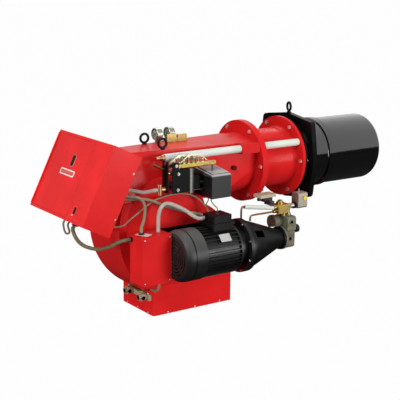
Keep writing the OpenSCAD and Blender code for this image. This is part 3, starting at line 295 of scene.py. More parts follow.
# The cowls' paler tops are a painted highlight.
cowl_paint = cast_paint("cowl_paint", (0.010, 0.010, 0.010), roughness=0.42, grain=0.12, sheen=0.22, dust_and_top_highlight=0.20)
port_paint = cast_paint("port_paint", (0.42, 0.36, 0.24), roughness=0.5, grain=0.3)
damper_red = gloss_paint("damper_red", (0.09, 0.006, 0.006), roughness=0.45, dust_and_highlight=0.0)
zinc = turned_metal("zinc", (0.62, 0.60, 0.55), tarnish=(0.42, 0.38, 0.30))
bright_steel = turned_metal("bright_steel", (0.55, 0.55, 0.56))
heated_steel = turned_metal("heated_steel", (0.42, 0.38, 0.33), roughness=0.4, tarnish=(0.16, 0.10, 0.08), amount=0.8)
brass = turned_metal("brass", (0.52, 0.37, 0.11), roughness=0.34, tarnish=(0.22, 0.14, 0.04), amount=0.7)
rail_brass = footed_metal("rail_brass", (0.27, 0.215, 0.055), (0.030, 0.028, 0.025), 0.058)
screw_steel = turned_metal("screw_steel", (0.28, 0.28, 0.27), roughness=0.42, tarnish=(0.12, 0.11, 0.10), amount=0.6)
lead_brown = moulded("lead_brown", (0.27, 0.13, 0.035), roughness=0.4, sheen=0.4)
old_brass = turned_metal("old_brass", (0.36, 0.27, 0.10), roughness=0.42, tarnish=(0.22, 0.15, 0.05), amount=0.8)
bolt_zinc = turned_metal("bolt_zinc", (0.78, 0.72, 0.68), roughness=0.46, tarnish=(0.55, 0.45, 0.40), amount=0.4)
copper = turned_metal("copper", (0.30, 0.145, 0.050), roughness=0.34, tarnish=(0.12, 0.07, 0.025), amount=0.8)
cast_aluminium = turned_metal("cast_aluminium", (0.38, 0.34, 0.29), roughness=0.5, tarnish=(0.24, 0.19, 0.14))
pump_paint = stained_cast("pump_paint", (0.175, 0.18, 0.115), (0.10, 0.055, 0.035))
coil_cover = split_cast("coil_cover", (0.030, 0.022, 0.018), (0.50, 0.44, 0.32), -0.1365)
strap_metal = banded_metal("strap_metal", (0.15, 0.15, 0.135), (0.006, 0.006, 0.006), -0.836)
rose_brass = turned_metal("rose_brass", (0.50, 0.27, 0.15), roughness=0.4, tarnish=(0.28, 0.13, 0.07), amount=0.7)
gauge_metal = turned_metal("gauge_metal", (0.36, 0.37, 0.31), roughness=0.42, tarnish=(0.22, 0.22, 0.17), amount=0.6)
shaft_metal = turned_metal("shaft_metal", (0.16, 0.15, 0.14), roughness=0.4, tarnish=(0.08, 0.07, 0.06))
strip_metal = turned_metal("strip_metal", (0.50, 0.50, 0.40), roughness=0.4, tarnish=(0.28, 0.26, 0.16), amount=0.6)
black_plastic = moulded("black_plastic", (0.006, 0.006, 0.0065))
# The cover's paler top is a painted reflection of the bright surroundings.
grey_plastic = moulded("grey_plastic", (0.055, 0.055, 0.058), roughness=0.45, dust_and_top_highlight=0.8)
conduit_sleeve = moulded("conduit_sleeve", (0.42, 0.385, 0.34), roughness=0.55, sheen=0.25)
tan_sleeve = moulded("tan_sleeve", (0.27, 0.225, 0.155), roughness=0.55, sheen=0.25)
olive_sleeve = moulded("olive_sleeve", (0.19, 0.155, 0.095), roughness=0.55, sheen=0.25)
window_black = moulded("window_black", (0.005, 0.004, 0.004), roughness=0.3, sheen=0.08)
pale_paint = gloss_paint("pale_paint", (0.74, 0.77, 0.70), roughness=0.28)
galvanised = turned_metal("galvanised", (0.45, 0.46, 0.48), roughness=0.45, tarnish=(0.3, 0.3, 0.32))

FINISH_OF = {
    "blast_tube": tube_paint, "tube_band": tube_paint, "diffuser": heated_steel, "nozzle_lance": heated_steel,
    "boiler_flange": black_paint, "head_hub": black_paint, "head_spool": red_paint, "outlet_duct": red_paint,
    "scroll_housing": red_paint, "fan_cover": red_paint, "inlet_duct": duct_red, "intake_throat": red_paint,
    "fan_wheel": galvanised, "air_damper": damper_red, "lifting_eyes": black_paint, "flange_bolts": bolt_zinc,
    "fan_motor_frame": motor_paint, "fan_motor_cowl": cowl_paint, "fan_motor_rotor": bright_steel,
    "panel_case": red_paint, "panel_door": red_paint, "panel_window": window_black,
    "panel_switch": window_black, "panel_brackets": red_paint, "terminal_box": box_red,
    "terminal_feet": red_paint, "box_screws": zinc, "cable_glands": black_plastic, "lug_bracket": port_paint,
    "motor_plate": black_paint, "motor_frame": fin_paint, "motor_cowl": cowl_paint,
    "motor_rotor": bright_steel, "motor_terminal_box": motor_paint, "bell_housing": motor_paint,
    "drive_bolts": zinc, "pump_body": pump_paint, "pump_knob": black_plastic, "valve_block": brass,
    "steel_unions": zinc, "pressure_switch": cast_aluminium, "solenoid_valve": coil_cover,
    "oil_pipes": copper, "supply_pipe": pale_paint, "brass_fittings": rose_brass, "servo_body": black_plastic,
    "servo_cover": grey_plastic, "cam_plates": plate_paint, "cam_rail": rail_brass, "cam_shaft": shaft_metal,
    "gauges": gauge_metal, "rear_needle": black_plastic, "front_needle": black_plastic,
    "gauge_manifold": old_brass, "conduits": conduit_sleeve, "leads": conduit_sleeve,
    "cam_strips": strip_metal, "cam_screws": screw_steel, "servo_strap": strap_metal,
}


class Growth(Graph):
    """A Geometry Nodes tree with one input for its base, named sizes and one for its finish."""

    def __init__(self, name, sizes, finish=True):
        super().__init__(bpy.data.node_groups.new(name, "GeometryNodeTree"))
        face = self.tree.interface
        face.new_socket("Base", in_out="INPUT", socket_type="NodeSocketGeometry")
        for label, value in sizes.items():
            kind = "NodeSocketInt" if isinstance(value, int) else "NodeSocketFloat"
            face.new_socket(label, in_out="INPUT", socket_type=kind).default_value = value
        if finish:
            face.new_socket("Finish", in_out="INPUT", socket_type="NodeSocketMaterial")
        face.new_socket("Result", in_out="OUTPUT", socket_type="NodeSocketGeometry")
        self.source = self.tree.nodes.new("NodeGroupInput")
        self.target = self.tree.nodes.new("NodeGroupOutput")

    def given(self, label):
        return Sock(self, self.source.outputs[label])

    def vector(self, x, y, z):
        return self.node("ShaderNodeCombineXYZ", {}, x, y, z)

    def done(self, shape):
        """Realizes the instances, shades them smooth by angle and gives them the finish."""
        real = self.node("GeometryNodeRealizeInstances", {}, shape)
        finished = self.node("GeometryNodeSetMaterial", {}, Geometry=soften(self, real, math.radians(35.0)),
                             Material=self.given("Finish"))
        self.join(self.target.inputs[0], finished)
        return self.tree


def soften(growth, shape, limit):
    """Smooth shading that keeps the edges sharper than a limit."""
    faces = growth.node("GeometryNodeSetShadeSmooth", {}, shape)
    bend = growth.node("GeometryNodeInputMeshEdgeAngle", {})
    sharp = growth.node("FunctionNodeCompare", {"operation": "GREATER_THAN"}, bend, limit)
    return growth.node("GeometryNodeSetShadeSmooth", {"domain": "EDGE"}, faces, Selection=sharp,
                       Shade_Smooth=False)


def smoothing_tree():
    """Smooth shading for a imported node, by a named angle."""
    growth = Growth("smooth_by_angle", {"Sharp angle": math.radians(30.0)}, finish=False)
    growth.join(growth.target.inputs[0], soften(growth, growth.given("Base"), growth.given("Sharp angle")))
    return growth.tree


SMOOTHING = smoothing_tree()


def dress(name, finish):
    """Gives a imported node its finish, with its round faces shaded smooth."""
    part = NODES[name]
    part.data.materials.clear()
    part.data.materials.append(finish)
    weld = part.modifiers.new("weld", "WELD")
    weld.merge_threshold = 0.01 * MM
    smooth = part.modifiers.new("smooth", "NODES")
    smooth.node_group = SMOOTHING


for node_name, node_finish in FINISH_OF.items():
    dress(node_name, node_finish)


# Building blocks for the pieces that the scene adds

def keep(name, mesh, body, stands_for=()):
    """Puts a finished mesh on its body and the node that it stands for."""
    piece = bpy.data.objects.new(name, mesh)
    bpy.context.collection.objects.link(piece)
    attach(piece, body)
    if stands_for:
        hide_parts(*stands_for)
    return piece


def grown(name, growth, base, sizes, finish):
    """The plain mesh that a tree makes from a base mesh."""
    holder = bpy.data.objects.new(name, base)
    bpy.context.collection.objects.link(holder)
    modifier = holder.modifiers.new("growth", "NODES")
    modifier.node_group = growth
    for item in growth.interface.items_tree:
        if item.in_out == "INPUT" and item.name in sizes:
            modifier[item.identifier] = sizes[item.name]
        if item.in_out == "INPUT" and item.name == "Finish":
            modifier[item.identifier] = finish
    bpy.context.view_layer.update()
    mesh = bpy.data.meshes.new_from_object(holder.evaluated_get(bpy.context.evaluated_depsgraph_get()))
    mesh.name = name
    holder.modifiers.remove(modifier)
    bpy.data.objects.remove(holder)
    return mesh


def points_mesh(places):
    """Loose points, each with the direction that its fixing faces."""
    mesh = bpy.data.meshes.new("places")
    mesh.from_pydata([place for place, axis in places], [], [])
    facing = mesh.attributes.new("facing", "FLOAT_VECTOR", "POINT")
    for index, (place, axis) in enumerate(places):
        facing.data[index].vector = axis
    return mesh


def route_mesh(routes):
    """Open polylines through the points of each route."""
    mesh = bpy.data.meshes.new("routes")
    points = []
    edges = []
    for route in routes:
        start = len(points)
        points += route
        edges += [(start + i, start + i + 1) for i in range(len(route) - 1)]
    mesh.from_pydata(points, edges, [])
    return mesh


def rounded(width, height, radius, steps=6):
    """Corner points of a rounded rectangle, anticlockwise."""
    outline = []
    for quarter, (sx, sy) in enumerate(((1, 1), (-1, 1), (-1, -1), (1, -1))):
        for step in range(steps + 1):
            angle = math.radians(90.0 * (quarter + step / steps))
            outline.append((sx * (width / 2 - radius) + radius * math.cos(angle),
                            sy * (height / 2 - radius) + radius * math.sin(angle)))
    return outline


class Sheet:
    """A mesh put together from thin plates, each laid on a plane of the burner."""

    def __init__(self, name):
        self.name = name
        self.points = []
        self.faces = []
        self.marks = []
        self.finishes = []

    def mark(self, finish):
        if finish not in self.finishes:
            self.finishes.append(finish)
        return self.finishes.index(finish)

    def rings(self, plane, rings, finish, closed=True):
        """Skins a list of rings of equal length, given as [(x, y, z), ...] on a plane."""
        start = len(self.points)
        count = len(rings[0])
        for ring in rings:
            self.points += [plane @ Vector(point) for point in ring]
        mark = self.mark(finish)
        last = len(rings) if not closed else len(rings) - 1
        for level in range(last):
            low = start + level * count
            high = start + ((level + 1) % len(rings)) * count
            for i in range(count):
                j = (i + 1) % count
                self.faces.append((low + i, low + j, high + j, high + i))
                self.marks.append(mark)
        if closed:
            self.faces.append(tuple(start + i for i in reversed(range(count))))
            self.faces.append(tuple(start + last * count + i for i in range(count)))
            self.marks += [mark, mark]

    def plate(self, plane, width, height, radius, thick, finish, edge=0.3 * MM, base=0.0):
        """A rounded plate with a broken edge."""
        levels = ((0.0, base), (0.0, base + thick - edge), (edge, base + thick))
        rings = [[(x, y, z) for x, y in rounded(width - 2 * inset, height - 2 * inset, radius - inset)]
                 for inset, z in levels]
        self.rings(plane, rings, finish)

    def frame(self, plane, width, height, radius, wall, thick, finish):
        """A rounded frame with an opening."""
        levels = ((0.0, 0.0), (0.0, thick), (wall, thick), (wall, 0.0))
        rings = [[(x, y, z) for x, y in rounded(width - 2 * inset, height - 2 * inset, radius - inset)]
                 for inset, z in levels]
        self.rings(plane, rings, finish, closed=False)

    def turned(self, plane, profile, finish, count=48):
        """A closed solid turned round the plane's normal from [(radius, height), ...]."""
        rings = [[(r * math.cos(2 * math.pi * i / count), r * math.sin(2 * math.pi * i / count), z)
                  for i in range(count)] for r, z in profile]
        self.rings(plane, rings, finish)

    def band(self, plane, outer, inner, width, finish, count=96):
        """A flat ring round the plane's normal."""
        rings = [[(r * math.cos(2 * math.pi * i / count), r * math.sin(2 * math.pi * i / count), z)
                  for i in range(count)] for r, z in ((outer, 0.0), (outer, width), (inner, width), (inner, 0.0))]
        self.rings(plane, rings, finish, closed=False)

    def mesh(self):
        mesh = bpy.data.meshes.new(self.name)
        mesh.from_pydata(self.points, [], self.faces)
        for finish in self.finishes:
            mesh.materials.append(finish)
        mesh.polygons.foreach_set("material_index", self.marks)
        return mesh


def plane_at(place, right, up):
    """The plane at a point, seen with right to the right and up upwards, facing its viewer."""
    right = Vector(right).normalized()
    facing = right.cross(Vector(up)).normalized()
    up = facing.cross(right)
    return Matrix.Translation(place) @ Matrix((right, up, facing)).transposed().to_4x4()


PANEL_AT = Vector((-1.365, 0.0, 0.027))
PANEL_TILT = math.radians(26.2)
PANEL_HIGH = 0.409
PANEL_WIDE = 0.544
PANEL_DEEP = 0.160
TO_PANEL = Matrix.Translation(PANEL_AT) @ Matrix.Rotation(PANEL_TILT, 4, "Y")


def panel_point(x, y, z):
    """A point given in millimetres in the panel's own directions."""
    return TO_PANEL @ Vector((x * MM, y * MM, z * MM))


def panel_plane(y, z):
    """A plane on the panel's sloping face."""
    return plane_at(panel_point(0, y, z), (0, -1, 0), TO_PANEL.to_3x3() @ Vector((0, 0, 1)))


def mm(x, y, z):
    return Vector((x * MM, y * MM, z * MM))


# Trees for what repeats

def rivet_growth():
    """Domed heads, half sunk in the sheet."""
    growth = Growth("domed_rivets", {"Head diameter": 0.008, "Head height": 0.0018})
    dome = growth.node("GeometryNodeMeshUVSphere", {}, Segments=16, Rings=8, Radius=0.5)
    across = growth.given("Head diameter")
    shaped = growth.node("GeometryNodeTransform", {}, dome,
                         Scale=growth.vector(across, across, growth.given("Head height") * 2.0))
    return growth.done(set_out(growth, shaped))


def set_out(growth, shape):
    """One copy of a shape on each point, turned to the way the point faces."""
    facing = growth.node("GeometryNodeInputNamedAttribute", {"data_type": "FLOAT_VECTOR"}, "facing")
    turn = growth.node("FunctionNodeAlignRotationToVector", {"axis": "Z"}, Vector=facing)
    return growth.node("GeometryNodeInstanceOnPoints", {}, growth.given("Base"), Instance=shape, Rotation=turn)


def cross_screw_growth():
    """Pan heads with a cross recess."""
    growth = Growth("cross_screws", {"Head diameter": 0.009, "Head height": 0.003})
    across = growth.given("Head diameter")
    height = growth.given("Head height")
    drum = growth.node("GeometryNodeMeshCylinder", {}, Vertices=24, Radius=across * 0.5, Depth=height * 2.0)
    crown = growth.node("GeometryNodeMeshUVSphere", {}, Segments=24, Rings=12, Radius=1.0)
    crown = growth.node("GeometryNodeTransform", {}, crown,
                        Scale=growth.vector(across * 0.62, across * 0.62, height))
    head = growth.node("GeometryNodeMeshBoolean", {"operation": "INTERSECT"}, Mesh_2=drum)
    growth.join(head.socket.node.inputs["Mesh 2"], crown)
    slots = []
    for size in ((0.62, 0.13), (0.13, 0.62)):
        slot = growth.node("GeometryNodeMeshCube", {},
                           growth.vector(across * size[0], across * size[1], height * 0.9))
        slots.append(growth.node("GeometryNodeTransform", {}, slot,
                                 Translation=growth.vector(0.0, 0.0, height)))
    cut = growth.node("GeometryNodeMeshBoolean", {"operation": "DIFFERENCE"}, head, slots[0])
    cut = growth.node("GeometryNodeMeshBoolean", {"operation": "DIFFERENCE"}, cut, slots[1])
    return growth.done(set_out(growth, cut))


def hex_growth():
    """Hexagon nuts or heads with their edges turned off at the top."""
    growth = Growth("hexagons", {"Across flats": 0.013, "Height": 0.005})
    flats = growth.given("Across flats")
    height = growth.given("Height")
    prism = growth.node("GeometryNodeMeshCylinder", {}, Vertices=6, Radius=flats * 0.57735, Depth=height)
    cone = growth.node("GeometryNodeMeshCone", {}, Vertices=36, Radius_Bottom=flats * 0.72,
                       Radius_Top=flats * 0.49, Depth=height)
    lifted = growth.node("GeometryNodeTransform", {}, cone,
                         Translation=growth.vector(0.0, 0.0, height * -0.5))
    nut = growth.node("GeometryNodeMeshBoolean", {"operation": "INTERSECT"}, Mesh_2=prism)
    growth.join(nut.socket.node.inputs["Mesh 2"], lifted)
    return growth.done(set_out(growth, nut))


def socket_screw_growth():
    """Cylinder heads with a hexagon socket."""
    growth = Growth("socket_screws", {"Head diameter": 0.010, "Head height": 0.006})
    across = growth.given("Head diameter")
    height = growth.given("Head height")
    head = growth.node("GeometryNodeMeshCylinder", {}, Vertices=24, Radius=across * 0.5, Depth=height * 2.0)
    key = growth.node("GeometryNodeMeshCylinder", {}, Vertices=6, Radius=across * 0.29, Depth=height)
    key = growth.node("GeometryNodeTransform", {}, key, Translation=growth.vector(0.0, 0.0, height))
    cut = growth.node("GeometryNodeMeshBoolean", {"operation": "DIFFERENCE"}, head, key)
    return growth.done(set_out(growth, cut))


def spring_growth():
    """Small coil springs that stand on their points, each as high as its own rise."""
    growth = Growth("coil_springs", {"Coil radius": 0.0062, "Wire diameter": 0.0016, "Turns": 6.0})
    radius = growth.given("Coil radius")
    coil = growth.node("GeometryNodeCurveSpiral", {}, Resolution=14, Height=1.0)
    for name, value in (("Rotations", growth.given("Turns")), ("Start Radius", radius), ("End Radius", radius)):
        growth.join(coil.socket.node.inputs[name], value)
    rise = growth.node("GeometryNodeInputNamedAttribute", {"data_type": "FLOAT"}, "rise")
    lines = growth.node("GeometryNodeInstanceOnPoints", {}, growth.given("Base"), Instance=coil,
                        Scale=growth.vector(1.0, 1.0, rise))
    lines = growth.node("GeometryNodeRealizeInstances", {}, lines)
    ring = growth.node("GeometryNodeCurvePrimitiveCircle", {}, Resolution=6, Radius=0.5)
    wire = growth.node("GeometryNodeCurveToMesh", {}, lines, Profile_Curve=ring,
                       Scale=growth.given("Wire diameter"), Fill_Caps=True)
    return growth.done(wire)


def ribbed_growth():
    """Sleeves whose radius rises and falls along each route."""
    growth = Growth("ribbed_sleeves", {"Diameter": 0.02, "Rib pitch": 0.005, "Rib depth": 0.0016,
                                       "Sides": 14})
    pitch = growth.given("Rib pitch")
    line = growth.node("GeometryNodeMeshToCurve", {}, growth.given("Base"))
    even = growth.node("GeometryNodeResampleCurve", {"mode": "LENGTH"}, line)
    growth.join(even.socket.node.inputs["Length"], pitch * 0.25)
    along = growth.node("GeometryNodeSplineParameter", {}, out="Length")
    wave = growth.node("ShaderNodeMath", {"operation": "SINE"}, along * (2.0 * math.pi) / pitch)
    size = growth.given("Diameter") * 0.5 - growth.given("Rib depth") * (0.5 - wave * 0.5)
    ring = growth.node("GeometryNodeCurvePrimitiveCircle", {}, Radius=1.0)
    growth.join(ring.socket.node.inputs["Resolution"], growth.given("Sides"))
    tube = growth.node("GeometryNodeCurveToMesh", {}, even, Profile_Curve=ring, Scale=size, Fill_Caps=True)
    return growth.done(tube)


def dial_growth():
    """Marks set round a dial that lies in the plane of its base point."""
    growth = Growth("dial_marks", {"Marks": 11, "Radius": 0.020, "Mark length": 0.004, "Mark width": 0.0007})
    row = growth.node("GeometryNodeMeshLine", {}, Offset=(0.0, 0.0, 0.0))
    growth.join(row.socket.node.inputs["Count"], growth.given("Marks"))
    index = growth.node("GeometryNodeInputIndex", {})
    angle = index * math.radians(270.0) / (growth.given("Marks") - 1.0) - math.radians(135.0)
    radius = growth.given("Radius")
    place = growth.vector(growth.node("ShaderNodeMath", {"operation": "SINE"}, angle) * radius,
                          growth.node("ShaderNodeMath", {"operation": "COSINE"}, angle) * radius, 0.0)
    spread = growth.node("GeometryNodeSetPosition", {}, row, Position=place)
    bar = growth.node("GeometryNodeMeshCube", {},
                      growth.vector(growth.given("Mark width"), growth.given("Mark length"), 0.0002))
    turned = growth.node("GeometryNodeInstanceOnPoints", {}, spread, Instance=bar,
                         Rotation=growth.vector(0.0, 0.0, 0.0 - angle))
    face = growth.node("GeometryNodeInstanceOnPoints", {}, growth.given("Base"), Instance=turned)
    return growth.done(face)


RIVETS = rivet_growth()
CROSS_SCREWS = cross_screw_growth()
RIBBED = ribbed_growth()
HEXAGONS = hex_growth()
SOCKET_SCREWS = socket_screw_growth()
SPRINGS = spring_growth()
DIAL_MARKS = dial_growth()


# Labels, plates and screws

label_white = gloss_paint("label_white", (0.78, 0.77, 0.74), roughness=0.35, dust_and_highlight=0.04)
label_red = gloss_paint("label_red", (0.62, 0.10, 0.09), roughness=0.3, dust_and_highlight=0.03)
outline_pink = gloss_paint("outline_pink", (0.66, 0.36, 0.34), roughness=0.35, dust_and_highlight=0.03)
lens_pink = gloss_paint("lens_pink", (0.72, 0.30, 0.40), roughness=0.2, dust_and_highlight=0.02)
seam_red = gloss_paint("seam_red", (0.80, 0.055, 0.050), roughness=0.3, dust_and_highlight=0.03)
label_silver = gloss_paint("label_silver", (0.50, 0.50, 0.49), roughness=0.32, dust_and_highlight=0.05)
emblem_blue = gloss_paint("emblem_blue", (0.030, 0.065, 0.095), roughness=0.3, dust_and_highlight=0.03)
signal_yellow = gloss_paint("signal_yellow", (0.78, 0.62, 0.05), roughness=0.35, dust_and_highlight=0.02)
dial_white = gloss_paint("dial_white", (0.60, 0.62, 0.52), roughness=0.4, dust_and_highlight=0.02)
dial_black = moulded("dial_black", (0.015, 0.015, 0.016), grain=0.05)


def door_pieces():
    label = Sheet("door_label")
    label.plate(panel_plane(49, 12.5), 0.138, 0.031, 0.008, 0.0009, label_white)
    label.plate(panel_plane(49, 12.5), 0.126, 0.020, 0.006, 0.0013, label_red)
    keep("door_label", label.mesh(), "door")
    rim = Sheet("window_rim")
    rim.frame(panel_plane(34, 76), 0.030, 0.059, 0.008, 0.0036, 0.0022, outline_pink)
    keep("window_rim", rim.mesh(), "door")


def switch_pieces():
    plate = Sheet("switch_plate")
    plate.frame(panel_plane(-163, -145), 0.122, 0.082, 0.004, 0.0016, 0.0012, seam_red)
    plate.frame(panel_plane(-152, -144.5), 0.032, 0.042, 0.003, 0.0040, 0.0018, seam_red)
    plate.plate(panel_plane(-143, -168), 0.016, 0.009, 0.002, 0.0020, lens_pink)
    keep("switch_plate", plate.mesh(), "burner")


def box_label():
    label = Sheet("box_label")
    plane = plane_at(mm(-1122.5, -270, -238), (0.91, 0.42, 0.0), (-0.35, 0.94, 0.0))
    label.plate(plane, 0.046, 0.070, 0.002, 0.0007, label_white)
    keep("box_label", label.mesh(), "burner")


def motor_data_plate():
    """A bare data plate across the fins, on its four rivets."""
    tilt = math.radians(41.4)
    outward = Vector((0.0, -math.cos(tilt), math.sin(tilt)))
    middle = mm(-757, -342, -352) + outward * 0.1262
    plane = plane_at(middle, (1, 0, 0), (0.0, math.sin(tilt), math.cos(tilt)))
    plate = Sheet("motor_data_plate")
    plate.plate(plane, 0.062, 0.042, 0.003, 0.0012, label_silver)
    plate.frame(plane, 0.056, 0.036, 0.002, 0.0008, 0.0015, dial_white)
    keep("motor_data_plate", plate.mesh(), "burner")
    heads = [(plane @ Vector((x * 0.027, y * 0.017, 0.0012)), outward) for x in (-1, 1) for y in (-1, 1)]
    rivets = grown("data_plate_rivets", RIVETS, points_mesh(heads),
                   {"Head diameter": 0.004, "Head height": 0.001}, zinc)
    keep("data_plate_rivets", rivets, "burner")


def lid_emblem():
    low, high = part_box("motor_terminal_box")
    plane = plane_at(((low[0] + high[0]) / 2, (low[1] + high[1]) / 2, high[2]), (1, 0, 0), (0, 1, 0))
    disc = Sheet("lid_emblem")
    disc.turned(plane, [(0.011, 0.0), (0.011, 0.0006), (0.0102, 0.001)], emblem_blue)
    keep("lid_emblem", disc.mesh(), "burner")


def switch_dot():
    plane = plane_at(mm(-201, -378, -152), (1, 0, 0), (0, 0, 1))
    dot = Sheet("switch_dot")
    dot.turned(plane, [(0.0118, -0.002), (0.0118, 0.0008), (0.0100, 0.0018), (0.004, 0.0023)], signal_yellow)
    keep("switch_dot", dot.mesh(), "burner")


def panel_fixings():
    """The panel's side screws and the terminal box's, with their cross recesses."""
    side = Vector((0.0, -1.0, 0.0))
    places = [(mm(x, -330, z), side) for x in (-1151, -1010) for z in (-468, -252)]
    places += [(panel_point(151, -272, z), side) for z in (118, -115)]
    heads = grown("cover_screws", CROSS_SCREWS, points_mesh(places),
                  {"Head diameter": 0.009, "Head height": 0.0029}, zinc)
    keep("cover_screws", heads, "burner", ["box_screws"])


def lid_fixings():
    """Small dark screws in the corners of the motor's lid."""
    low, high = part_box("motor_terminal_box")
    up = Vector((0.0, 0.0, 1.0))
    inset = (0.024, 0.021)
    places = [(Vector((x, y, high[2])), up) for x in (low[0] + inset[0], high[0] - inset[0])
              for y in (low[1] + inset[1], high[1] - inset[1])]
    heads = grown("lid_screws", CROSS_SCREWS, points_mesh(places),
                  {"Head diameter": 0.007, "Head height": 0.0022}, black_paint)
    keep("lid_screws", heads, "burner")


def duct_rivets():
    """Rivets along the inlet duct's edges and corners."""
    low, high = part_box("inlet_duct")
    near = Vector((0.0, -1.0, 0.0))
    back = Vector((-1.0, 0.0, 0.0))
    places = []
    for x in (0.090, 0.256, 0.414):
        places.append((Vector((low[0] + x, low[1], low[2] + 0.007)), near))
    for y in (low[1] + 0.05, 0.0, high[1] - 0.05):
        places.append((Vector((low[0], y, low[2] + 0.007)), back))
    heads = grown("duct_rivets", RIVETS, points_mesh(places),
                  {"Head diameter": 0.009, "Head height": 0.0018}, bolt_zinc)
    keep("duct_rivets", heads, "burner")


def cam_fixings():
    """Locknuts and springs on the cam unit's adjusting screws."""
    up = Vector((0.0, 0.0, 1.0))
    nuts = []
    feet = []
    rises = []
    for rail_top, middle, y in ((83, -868, -232), (79, -822, -248)):
        for k in range(-2, 3):
            top = 12 + math.sqrt(106.0 ** 2 - (abs(k) * 28 + 4) ** 2)
            place = (middle + k * 28, y)
            nuts.append((mm(*place, rail_top + 2.5), up))
            nuts.append((mm(*place, top - 3.5), up))
            feet.append((mm(*place, rail_top + 5), up))
            rises.append((top - rail_top - 11) * MM)
    base = points_mesh(feet)
    rise = base.attributes.new("rise", "FLOAT", "POINT")
    rise.data.foreach_set("value", rises)
    meshes = [grown("locknuts", HEXAGONS, points_mesh(nuts), {"Across flats": 0.012, "Height": 0.005}, brass),
              grown("springs", SPRINGS, base, {}, strip_metal)]
    keep("cam_fixings", joined("cam_fixings", meshes), "burner")


def pump_fixings():
    """Socket screws of the pump's cover and the plugs in its sides."""
    front = Vector((1.0, 0.0, 0.0))
    near = Vector((0.0, -1.0, 0.0))
    heads = [(mm(-272, -342 + dy, -352 + dz), front) for dy, dz in
             ((-32, -42), (32, -42), (-32, 18), (32, 18), (-40, 104), (40, 104))]
    plugs = [(mm(-305, -386, -352), near), (mm(-305, -394, -262), near)]
    meshes = [grown("cover_heads", SOCKET_SCREWS, points_mesh(heads), {}, zinc),
              grown("plugs", HEXAGONS, points_mesh(plugs), {"Across flats": 0.017, "Height": 0.012}, pump_paint)]
    keep("pump_fixings", joined("pump_fixings", meshes), "burner")


def cowl_seams():
    """A black band round each motor cowl where its end cap is pressed on: the joint's dark line, widened with painted
    shade of the gap.
    """
    seams = Sheet("cowl_seams")
    low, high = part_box("motor_cowl")
    middle = (low[0] + 0.047, (low[1] + high[1]) / 2, (low[2] + high[2]) / 2)
    radius = (high[2] - low[2]) / 2
    seams.band(plane_at(middle, (0, 1, 0), (0, 0, 1)), radius + 0.4 * MM, radius - 0.5 * MM, 0.006, window_black)
    low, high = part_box("fan_motor_cowl")
    middle = ((low[0] + high[0]) / 2, high[1] - 0.053, (low[2] + high[2]) / 2)
    radius = (high[2] - low[2]) / 2
    # Each band is the seam's own dark line plus painted shade of the gap.
    seams.band(plane_at(middle, (-1, 0, 0), (0, 0, 1)), radius + 0.4 * MM, radius - 0.5 * MM, 0.006, window_black)
    keep("cowl_seams", seams.mesh(), "burner")


def switch_ring():
    ring = Sheet("switch_ring")
    ring.turned(plane_at(mm(-257, -345, -190), (0, 1, 0), (0, 0, 1)),
                [(0.0155, 0.0), (0.0168, 0.0012), (0.0168, 0.0128), (0.0155, 0.0138)], window_black)
    keep("switch_ring", ring.mesh(), "burner")


def port_pieces():
    """Black discs of painted shade for the bores, plugs and a link bar on the cast bracket behind the inlet duct."""
    details = Sheet("port_pieces")
    for y in (-100, 34):
        bore = plane_at(mm(-1050, y, -616), (0, -1, 0), (0, 0, 1))
        details.turned(bore, [(0.0135, -0.001), (0.0135, 0.0004), (0.0130, 0.0006)], old_brass)
        # The black disc stands for the shade inside the bore: painted shade.
        details.turned(bore, [(0.0100, 0.0), (0.0100, 0.0008), (0.0094, 0.0010)], window_black)
        side = plane_at(mm(-1030, y - 21, -618), (1, 0, 0), (0, 0, 1))
        details.turned(side, [(0.0100, -0.004), (0.0100, 0.0010), (0.0090, 0.0016)], window_black)
    top = plane_at(mm(-1012, -20, -598), (0, -1, 0), (1, 0, 0))
    details.plate(top, 0.088, 0.020, 0.003, 0.006, old_brass)
    keep("port_pieces", details.mesh(), "burner")


# Gauges

def gauge_faces():
    """A white face, its marks and figures behind each gauge's glass."""
    scale = Sheet("gauge_faces")
    glass = Sheet("gauge_glasses")
    meshes = []
    for x in (-809, -734):
        plane = plane_at(mm(x, 118, 166), (0, -1, 0), (0, 0, 1))
        scale.turned(plane, [(0.0237, 0.0), (0.0237, 0.0004), (0.0235, 0.0005)], dial_white)
        scale.turned(plane, [(0.0030, 0.0004), (0.0030, 0.0007), (0.0028, 0.0008)], dial_black)
        glass.turned(plane @ Matrix.Translation((0.0, 0.0, 0.0040)),
                     [(0.0238, 0.0), (0.0238, 0.0006), (0.0220, 0.0012), (0.010, 0.0018)], clear_glass)
        marks = grown("marks", DIAL_MARKS, points_mesh([((0, 0, 0), (0, 0, 1))]),
                      {"Marks": 31, "Radius": 0.0195, "Mark length": 0.0026, "Mark width": 0.0004}, dial_black)
        long_marks = grown("long_marks", DIAL_MARKS, points_mesh([((0, 0, 0), (0, 0, 1))]),
                           {"Marks": 7, "Radius": 0.0188, "Mark length": 0.0042, "Mark width": 0.0008},
                           dial_black)
        lift = plane @ Matrix.Translation((0.0, 0.0, 0.0006))
        for mesh in (marks, long_marks):
            mesh.transform(lift)
            meshes.append(mesh)
        for step in range(7):
            angle = math.radians(-135.0 + 45.0 * step)
            meshes.append(figure(str(step), plane, 0.0132 * math.sin(angle), 0.0132 * math.cos(angle)))
    meshes.append(scale.mesh())
    keep("gauge_faces", joined("gauge_faces", meshes), "burner")
    keep("gauge_glasses", glass.mesh(), "burner")


